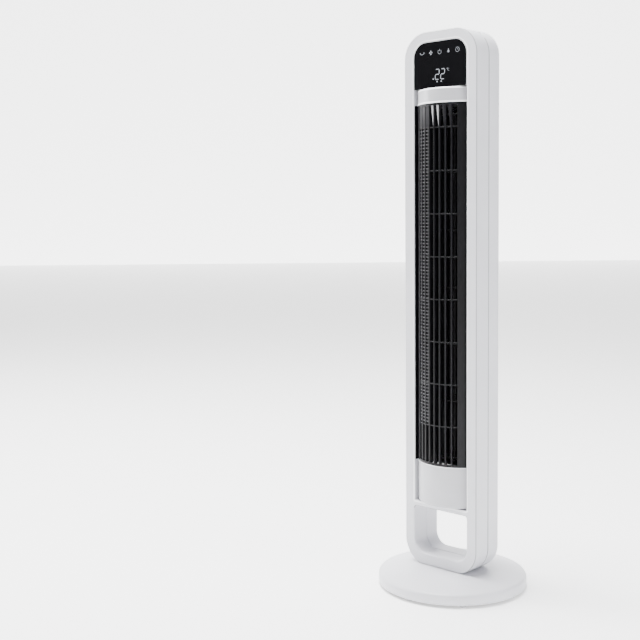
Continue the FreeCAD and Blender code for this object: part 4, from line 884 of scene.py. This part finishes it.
def make_grille():
    """The black grille: a curved frame, upright bars and level ribs."""
    side = DRUM_SIDE - 0.4
    edge = GRILLE_OPEN + 0.6
    angles = stepped(-side, -edge, 10) + stepped(-edge, edge, 48) + stepped(edge, side, 10)
    angles = sorted({round(angle, 4) for angle in angles})
    levels = [GRILLE_LOW + 0.05, GRILLE_LOW + GRILLE_RING, GRILLE_HIGH - GRILLE_RING, GRILLE_HIGH - 0.05]

    def solid(column, row):
        middle = (angles[column] + angles[column + 1]) / 2
        return row != 1 or abs(middle) >= edge + 0.1

    band = banded_frame("grille_frame", GRILLE_RADIUS, GRILLE_RADIUS - 3.0, angles, levels, DRUM_Y, solid)
    soften(band, 0.5)
    fit(band, "tower", kinds["black_abs"], ["front_grille"])

    wall_x, wall_back, wall_front = WINDOW_HALF - 0.5, -27.0, HOOP_FRONT + 3.0
    wall_in = wall_x - 1.2
    walls = []
    for side in (-1, 1):
        corners = (-wall_x, wall_back), (-wall_x, wall_front), (-wall_in, wall_front), (-wall_in, wall_back)
        section = [(side * x, y) for x, y in corners]
        walls.append(swept_bar("grille_side_walls", section, GRILLE_LOW + 0.1, GRILLE_HIGH - 0.1, 0.3))
    walls = join_pieces("grille_side_walls", walls)
    fit(walls, "tower", kinds["black_abs"])

    half = BAR_WIDTH / 2
    nose, back = GRILLE_RADIUS, GRILLE_RADIUS - BAR_DEPTH
    right = [(half - 0.8, 0.22 - nose), (half - 0.25, 0.8 - nose), (half, 2.0 - nose), (half * 0.75, -back)]
    section = mirrored(right, [(0.0, 0.02 - nose)])
    bars = swept_bar("grille_bars", section, GRILLE_LOW + GRILLE_RING - 1, GRILLE_HIGH - GRILLE_RING + 1, 0.2)
    first = -SLOT_STEP * (SLOTS - 2) / 2
    repeated(bars, kinds["black_abs"], columns=SLOTS - 1, first=first, step=SLOT_STEP)
    fit(bars, "tower")

    reach = GRILLE_OPEN + 1.2
    rib = banded_frame(
        "grille_ribs",
        GRILLE_RADIUS - 1.1,
        GRILLE_RADIUS - 3.4,
        stepped(-reach, reach, 40),
        [RIB_LOW, RIB_LOW + RIB_HEIGHT],
    )
    soften(rib, 0.5)
    repeated(rib, kinds["black_abs"], rows=RIBS, pitch=RIB_PITCH)
    fit(rib, "tower")


def make_grille_head():
    """Above the top rib the left slots are closed by facets, and the other bars flare into the top ring."""
    low, high = TOP_RIB - 0.5, GRILLE_HIGH - GRILLE_RING + 0.5
    bar_half = math.degrees(BAR_WIDTH / 2 / GRILLE_RADIUS)
    left_edge = -SLOT_STEP * SLOTS / 2
    first_bar = left_edge + SLOT_STEP

    proud, sunk, thickness = GRILLE_RADIUS - 0.9, GRILLE_RADIUS - 1.6, 2.0
    near, far = left_edge + 1.0, first_bar - bar_half
    corners = (proud, near), (sunk, far), (sunk - thickness, far), (proud - thickness, near)
    closed = [around_front(radius, angle, 0) for radius, angle in corners]
    facets = swept_bar("grille_head_facets", closed, low, high, 0.15)
    repeated(facets, kinds["dark_facet"], columns=3, step=SLOT_STEP)
    fit(facets, "tower")

    spread_top, spread_low = 4.2, 0.4
    nose = GRILLE_RADIUS - 0.5
    points = []
    for level, spread in ((low, spread_low), (high, spread_top)):
        left = -bar_half - spread
        right = -bar_half * 0.6
        for angle, radius in ((left, nose - 1.6), (right, nose), (right, nose - 4), (left, nose - 4)):
            points.append((*around_front(radius, angle, 0), level))
    sides = [(0, 1, 5, 4), (1, 2, 6, 5), (2, 3, 7, 6), (3, 0, 4, 7), (3, 2, 1, 0), (4, 5, 6, 7)]
    flare = finish_mesh(new_piece("grille_flares", points, sides))
    soften(flare, 0.25)
    far_flare = link_object("grille_far_flares", flare.data.copy())
    # Painted highlight: the two nearer flares are painted pale; the two farther flares are the same shape in the
    # dark facet colour.
    repeated(flare, kinds["pale_facet"], columns=2, first=first_bar + 3 * SLOT_STEP, step=SLOT_STEP)
    repeated(far_flare, kinds["dark_facet"], columns=2, first=first_bar + 5 * SLOT_STEP, step=SLOT_STEP)
    fit(flare, "tower")
    fit(far_flare, "tower")


def make_screen():
    """The fine ladder screen across the three left slots, between the lowest and the highest rib."""
    pitch, rung = 6.7, 2.3
    left = -SLOT_STEP * SLOTS / 2 + 0.8
    right = left + SLOT_STEP * 3 - 0.6
    first = RIB_LOW + RIB_HEIGHT + pitch - rung
    rungs = math.floor((TOP_RIB - RIB_HEIGHT - RIB_LOW - RIB_HEIGHT) / pitch)
    across = stepped(left, right, 15)
    band = banded_frame("screen_rungs", GRILLE_RADIUS - 1.5, GRILLE_RADIUS - 3.1, across, [first, first + rung])
    repeated(band, kinds["screen"], rows=rungs, pitch=pitch)
    fit(band, "tower", None, ["mesh_insert"])
    gauze_face = GRILLE_RADIUS - 4.2
    backing = banded_frame("screen_gauze", gauze_face, gauze_face - 0.6, across, [RIB_LOW, TOP_RIB], DRUM_Y)
    fit(backing, "tower", kinds["gauze"])


# ---- Display -----------------------------------------------------------------------------------------

LENS_GAP = 0.3
BEZEL = 1.3


def window_filler(gap, low):
    """The sizes of a plate that fills the head of the window with a gap at its sides and top."""
    return WINDOW_HALF - gap, low, WINDOW_TOP - gap, 1.0, WINDOW_CORNER - gap


BEZEL_OUTSIDE = window_filler(LENS_GAP, DISPLAY_LOW + LENS_GAP)
LENS = window_filler(BEZEL, DISPLAY_LOW + LENS_GAP)
ICON_LEVEL = WINDOW_TOP - 22.0
ICON_PITCH = 21.5
DIGIT_LEVEL = DISPLAY_LOW + 27.0
DIGIT_PLACES = (-5.6, 7.6)


def stroke(points, width, closed=False):
    """A flat line of a given width through points in X and Z, as (points, faces) of a thin ribbon."""
    count = len(points)
    rows = []
    for index, (x, z) in enumerate(points):
        before = points[index - 1] if index or closed else points[index]
        after = points[(index + 1) % count] if index < count - 1 or closed else points[index]
        along = Vector((after[0] - before[0], after[1] - before[1])).normalized()
        across = Vector((-along.y, along.x)) * width / 2
        rows.append(((x + across.x, z + across.y), (x - across.x, z - across.y)))
    flat = [point for pair in rows for point in pair]
    spans = count if closed else count - 1
    faces = []
    for index in range(spans):
        a, b = 2 * index, 2 * ((index + 1) % count)
        faces.append((a, a + 1, b + 1, b))
    return flat, faces


def arc_points(x, z, radius, start, end, steps=20):
    """Points along an arc, with angles in degrees from +X towards +Z."""
    return [
        (x + radius * math.cos(math.radians(a)), z + radius * math.sin(math.radians(a)))
        for a in stepped(start, end, steps)
    ]


def ring(x, z, radius, width, steps):
    """A thin closed ring."""
    return stroke(arc_points(x, z, radius, 0, 360, steps)[:-1], width, closed=True)


def disc(x, z, radius, steps=16):
    """A filled circle."""
    return arc_points(x, z, radius, 0, 360, steps)[:-1], [tuple(range(steps))]


def digit_strokes(x, z, wide, tall, lit):
    """A seven-segment digit centred on x and z. lit names its lit segments, a to g."""
    half, end, gap, slant = wide / 2, tall / 2, 0.9, 0.06
    ends = {
        "a": ((-half + gap, end), (half - gap, end)),
        "b": ((half, end - gap), (half, gap)),
        "c": ((half, -gap), (half, -end + gap)),
        "d": ((half - gap, -end), (-half + gap, -end)),
        "e": ((-half, -end + gap), (-half, -gap)),
        "f": ((-half, gap), (-half, end - gap)),
        "g": ((-half + gap, 0), (half - gap, 0)),
    }
    return [stroke([(x + px + slant * pz, z + pz) for px, pz in ends[name]], 1.6) for name in lit]


def swing_icon(x, z):
    """A hanging arc with an arrow head at each end."""
    arc = arc_points(x, z + 3.4, 5.2, 205, 335)
    heads = []
    for side in (-1, 1):
        tip = (x + side * 5.6, z + 2.2)
        heads.append(([tip, (x + side * 3.0, z + 1.4), (x + side * 5.2, z - 0.8)], [(0, 1, 2)]))
    return [stroke(arc, 0.7), *heads]


def blades_icon(x, z):
    """Four round fan blades about a hub."""
    shapes = [disc(x, z, 0.9)]
    for turn in (0, 90, 180, 270):
        angle = math.radians(turn)
        shapes.append(disc(x + 2.9 * math.cos(angle), z + 2.9 * math.sin(angle), 1.25))
    return shapes


def power_icon(x, z):
    """An open ring with an upright stroke in its gap."""
    return [stroke(arc_points(x, z, 4.0, 125, 415), 0.6), stroke([(x, z + 5.2), (x, z + 0.9)], 0.6)]


def figure_icon(x, z):
    """A small seated figure: a head above a rounded body."""
    half_body = [(1.9, -3.4), (1.7, 0.0), (0.9, 1.2)]
    body = [(x + px, z + pz) for px, pz in half_body] + [(x - px, z + pz) for px, pz in reversed(half_body)]
    return [disc(x, z + 2.9, 1.1), (body, [tuple(range(len(body)))])]


def clock_icon(x, z):
    """A ring with two hands."""
    return [ring(x, z, 4.4, 0.6, 32), stroke([(x, z + 2.2), (x, z), (x + 1.7, z)], 0.5)]


def temperature_mark(x, z):
    """A small ring for degrees and an open curve beside it."""
    return [ring(x - 2.8, z + 2.2, 0.8, 0.4, 16), stroke(arc_points(x + 0.4, z, 2.2, 50, 310, 18), 0.5)]


def make_display():
    """The acrylic lens in its bezel, with the printed marks just in front of it."""
    rear = HOOP_FRONT + 2.4
    lens = ring_solid("display_window", (LENS, edge_profile(0.35, rear, HOOP_FRONT, 0.1, 4)), [])
    fit(lens, "tower", kinds["lens"], ["display_lens"])
    opening = window_filler(BEZEL, LENS[1] + 0.6)
    bezel = ring_solid(
        "display_bezel",
        (BEZEL_OUTSIDE, edge_profile(0.3, rear, HOOP_FRONT, 0.1, 4)),
        [(opening, edge_profile(0.5, rear, HOOP_FRONT, 0.1, 4))],
    )
    # Painted highlight: the whole bezel is painted a brighter white.
    fit(bezel, "tower", kinds["white_edge"])

    shapes = []
    for index, icon in enumerate((swing_icon, blades_icon, power_icon, figure_icon, clock_icon)):
        shapes += icon((index - 2) * ICON_PITCH, ICON_LEVEL)
    for x in DIGIT_PLACES:
        shapes += digit_strokes(x, DIGIT_LEVEL, 9.0, 19.5, "abged")
    shapes += temperature_mark(21.5, DIGIT_LEVEL + 7.4)
    shapes += [disc(-15.5, DIGIT_LEVEL - 8.6, 1.3), disc(-6.0, DIGIT_LEVEL - 14.0, 1.4)]
    square = [(2.8, -15.2), (5.4, -15.2), (5.4, -12.8), (2.8, -12.8)]
    shapes.append(([(x, DIGIT_LEVEL + z) for x, z in square], [(0, 1, 2, 3)]))

    points, faces = [], []
    for flat, outlines in shapes:
        near, count = len(points), len(flat)
        for depth in (HOOP_FRONT - 0.12, HOOP_FRONT - 0.02):
            first = len(points)
            points += [(x, depth, z) for x, z in flat]
            faces += [tuple(first + i for i in face) for face in outlines]
        edges = [edge for face in outlines for edge in zip(face, face[1:] + face[:1])]
        rim = [(near + a, near + b) for a, b in edges if (b, a) not in edges]
        faces += [(a, b, b + count, a + count) for a, b in rim]
    marks = finish_mesh(new_piece("display_marks", points, faces, range(len(faces))))
    fit(marks, "tower", kinds["glow"])


# ---- Rear housing ------------------------------------------------------------------------------------


def housing_outline(radius, steps):
    """The U of the housing seen from above: two straight sides and a half circle, as (x, y, angle) points."""
    arc = [(*around_front(radius, angle, HOUSING_Y), angle) for angle in stepped(90, 270, steps)]
    legs = [(1 - share) * HOUSING_FRONT + share * HOUSING_Y for share in (0, 0.25, 0.5, 0.75, 0.97)]
    return [(radius, y, 0) for y in legs] + arc + [(-radius, y, 0) for y in reversed(legs)]


def make_housing():
    """The rear shell, with soft upper and lower edges, open for the intake between two upright edges."""
    open_angle = math.degrees(math.asin(INTAKE_HALF / HOUSING_RADIUS))
    soft, wall, steps = 6.0, 2.5, 72
    sill, head = INTAKE_LOW + END_RING, INTAKE_HIGH - END_RING
    lowest, highest = HOUSING_LOW + wall, HOUSING_HIGH - wall
    levels = [
        *quarter(HOUSING_LOW + soft, soft, 0.0, False, 7),
        (sill, 0.0),
        (head, 0.0),
        *quarter(HOUSING_HIGH - soft, soft, 0.0, True, 7),
    ]
    inner_levels = [(max(lowest, min(highest, level)), drawn_in + wall) for level, drawn_in in levels]
    points = [
        (x, y, level)
        for level, drawn_in in levels + inner_levels
        for x, y, _ in housing_outline(HOUSING_RADIUS - drawn_in, steps)
    ]
    angles = [angle for _, _, angle in housing_outline(HOUSING_RADIUS, steps)]
    rows, count, inner = len(levels) - 1, len(angles), len(points) // 2

    def solid(column, row):
        pair = angles[column], angles[column + 1]
        if levels[row][0] < sill - 0.01 or levels[row + 1][0] > head + 0.01 or 0 in pair:
            return True
        return abs(sum(pair) / 2 - 180) >= open_angle

    faces = cell_faces(
        count - 1,
        rows,
        solid,
        lambda column, row: row * count + column,
        lambda column, row: inner + row * count + column,
        capped=False,
    )
    for cap in (tuple(range(count)), tuple(range(rows * count, inner))):
        faces.append(cap)
        faces.append(tuple(inner + i for i in reversed(cap)))
        faces.append((cap[0], cap[-1], inner + cap[-1], inner + cap[0]))
    shell = finish_mesh(new_piece("rear_shell", points, faces, sharp_degrees=40))
    fit(shell, "tower", kinds["white_abs"], ["rear_housing"])


def make_intake():
    """The intake grille: a curved frame, slats and ribs, seated inside the rear shell."""
    radius = HOUSING_RADIUS - 2.6
    reach = math.degrees(math.asin(INTAKE_HALF / HOUSING_RADIUS)) + 4
    side = INTAKE_STEP * INTAKE_SLOTS / 2
    angles = sorted({round(a, 4) for a in stepped(180 - reach, 180 + reach, 48) + [180 - side, 180 + side]})
    levels = [INTAKE_LOW, INTAKE_LOW + END_RING - 0.5, INTAKE_HIGH - END_RING + 0.5, INTAKE_HIGH]

    def solid(column, row):
        middle = (angles[column] + angles[column + 1]) / 2
        return row != 1 or abs(middle - 180) > side - 0.01

    band = banded_frame("intake_frame", radius, radius - 3.0, angles, levels, HOUSING_Y, solid)
    soften(band, 0.4)
    fit(band, "tower", kinds["white_intake"], ["intake_grille"])

    half, depth = 1.8, 3.0
    right = [(half * 0.3, radius), (half * 0.8, radius - 0.3), (half, radius - 0.9), (half, radius - depth)]
    section = mirrored(right)
    slats = swept_bar("intake_slats", section, levels[1] - 1, levels[2] + 1, 0.2)
    first = -INTAKE_STEP * (INTAKE_SLOTS - 1) / 2 - INTAKE_STEP / 2
    repeated(slats, kinds["white_intake"], INTAKE_SLOTS + 1, first, INTAKE_STEP, axis_y=HOUSING_Y)
    fit(slats, "tower")

    rib_low = INTAKE_LOW + 79.0
    across = stepped(180 - side, 180 + side, 40)
    rib = banded_frame("intake_ribs", radius - 0.8, radius - 2.8, across, [rib_low, rib_low + RIB_HEIGHT])
    soften(rib, 0.4)
    repeated(rib, kinds["white_intake"], rows=RIBS, pitch=RIB_PITCH, axis_y=HOUSING_Y)
    fit(rib, "tower")


def make_rear_cover():
    """The plain cover behind the display."""
    low = box_mm("rear_cover")[0]
    shape = window_filler(LENS_GAP, low[2])
    cover = ring_solid("display_rear_cover", (shape, edge_profile(0.6, low[1], HOOP_REAR, 0.1, 4)), [])
    fit(cover, "tower", kinds["white_abs"], ["rear_cover"])


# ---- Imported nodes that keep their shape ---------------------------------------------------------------

SLOT_FINISH = {
    "black_inner": "inner_black",
    "display_black": "lens",
    "impeller_grey": "impeller",
    "circuit_green": "circuit",
    "module_white": "acetal",
    "steel_plated": "zinc",
    "steel_ballast": "ballast",
    "rubber_black": "black_rubber",
    "rubber_foot": "foot_rubber",
    "acetal_white": "acetal",
    "bronze": "bronze",
    "copper_core": "copper",
    "white_housing": "white_abs",
    "white_intake": "white_intake",
    "black_grille": "black_abs",
    "black_mesh": "screen",
}


def finish_packed_nodes():
    """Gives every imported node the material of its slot."""
    for part in frame["record"]["subparts"]:
        piece = frame["nodes"][part["node"]]
        piece.data.materials.clear()
        piece.data.materials.append(kinds[SLOT_FINISH[part["material_slot"]]])


# ---- Studio ------------------------------------------------------------------------------------------


VIEW_TURN = math.radians(43.55)


def area_light(name, place, aim, size, power, colour=(1, 1, 1)):
    """A soft rectangular lamp."""
    data = bpy.data.lights.new(name, "AREA")
    data.shape = "RECTANGLE"
    data.size, data.size_y = size
    data.energy = power
    data.color = colour
    light = link_object(name, data)
    light.location = place
    light.rotation_euler = (Vector(aim) - Vector(place)).to_track_quat("-Z", "Y").to_euler()


def glowing_paper(name, strength):
    """White paper that is lit from behind as well."""
    paper, _, shader = new_material(name, "#fdfdfd", 0.9)
    shader.inputs["Emission Color"].default_value = (1.0, 1.0, 1.0, 1.0)
    shader.inputs["Emission Strength"].default_value = strength
    return paper


def paper_sheet(name, corners, glow, turn=0.0):
    """A flat sheet of glowing paper around the fan."""
    mesh = bpy.data.meshes.new("studio_" + name)
    mesh.from_pydata(corners, [], [(0, 1, 2, 3)])
    mesh.materials.append(glowing_paper(name + "_paper", glow))
    sheet = link_object("studio_" + name, mesh)
    sheet.rotation_euler.z = turn


def make_studio():
    """A pale floor, a pale wall behind the fan, and three soft lamps."""
    reach = 14.0
    paper_sheet("floor", [(-reach, -reach, 0), (reach, -reach, 0), (reach, reach, 0), (-reach, reach, 0)], 0.9)
    wall = [(-reach, reach, reach), (reach, reach, reach), (reach, reach, 0), (-reach, reach, 0)]
    paper_sheet("wall", wall, 3.6, VIEW_TURN)

    world = bpy.data.worlds.new("studio")
    world.use_nodes = True
    background = world.node_tree.nodes["Background"]
    background.inputs[0].default_value = (1.0, 1.0, 1.0, 1.0)
    background.inputs[1].default_value = 0.36
    bpy.context.scene.world = world

    area_light("key_left", (-3.2, -1.2, 2.4), (0, 0, 0.6), (1.6, 2.4), 170)
    area_light("fill_right", (3.2, 0.5, 1.6), (0, 0, 0.6), (1.4, 2.4), 70, (0.94, 0.96, 1.0))
    area_light("top", (-0.5, -0.3, 3.6), (0, 0, 0.0), (1.8, 1.8), 430)


def make_camera():
    """A long lens from the front right, a little above the middle of the fan."""
    data = bpy.data.cameras.new("camera")
    data.lens = 61.0
    data.sensor_width = 36.0
    data.shift_y = -0.0434
    data.clip_end = 60.0
    camera = link_object("camera", data)
    camera.location = (1.30529, -1.75855, 0.76089)
    turn = Matrix.Rotation(VIEW_TURN, 4, "Z")
    tilt = Matrix.Rotation(math.radians(90 - 4.25), 4, "X")
    roll = Matrix.Rotation(math.radians(-0.51), 4, "Z")
    camera.rotation_euler = (turn @ tilt @ roll).to_euler()
    bpy.context.scene.camera = camera


# ---- Build -------------------------------------------------------------------------------------------

kinds = make_materials()
repeat_copies = repeat_tree()
make_studio()
make_camera()
finish_packed_nodes()
make_hoop()
make_hoop_screws()
make_base()
make_panels()
make_grille()
make_grille_head()
make_screen()
make_display()
make_housing()
make_intake()
make_rear_cover()

bpy.context.view_layer.update()
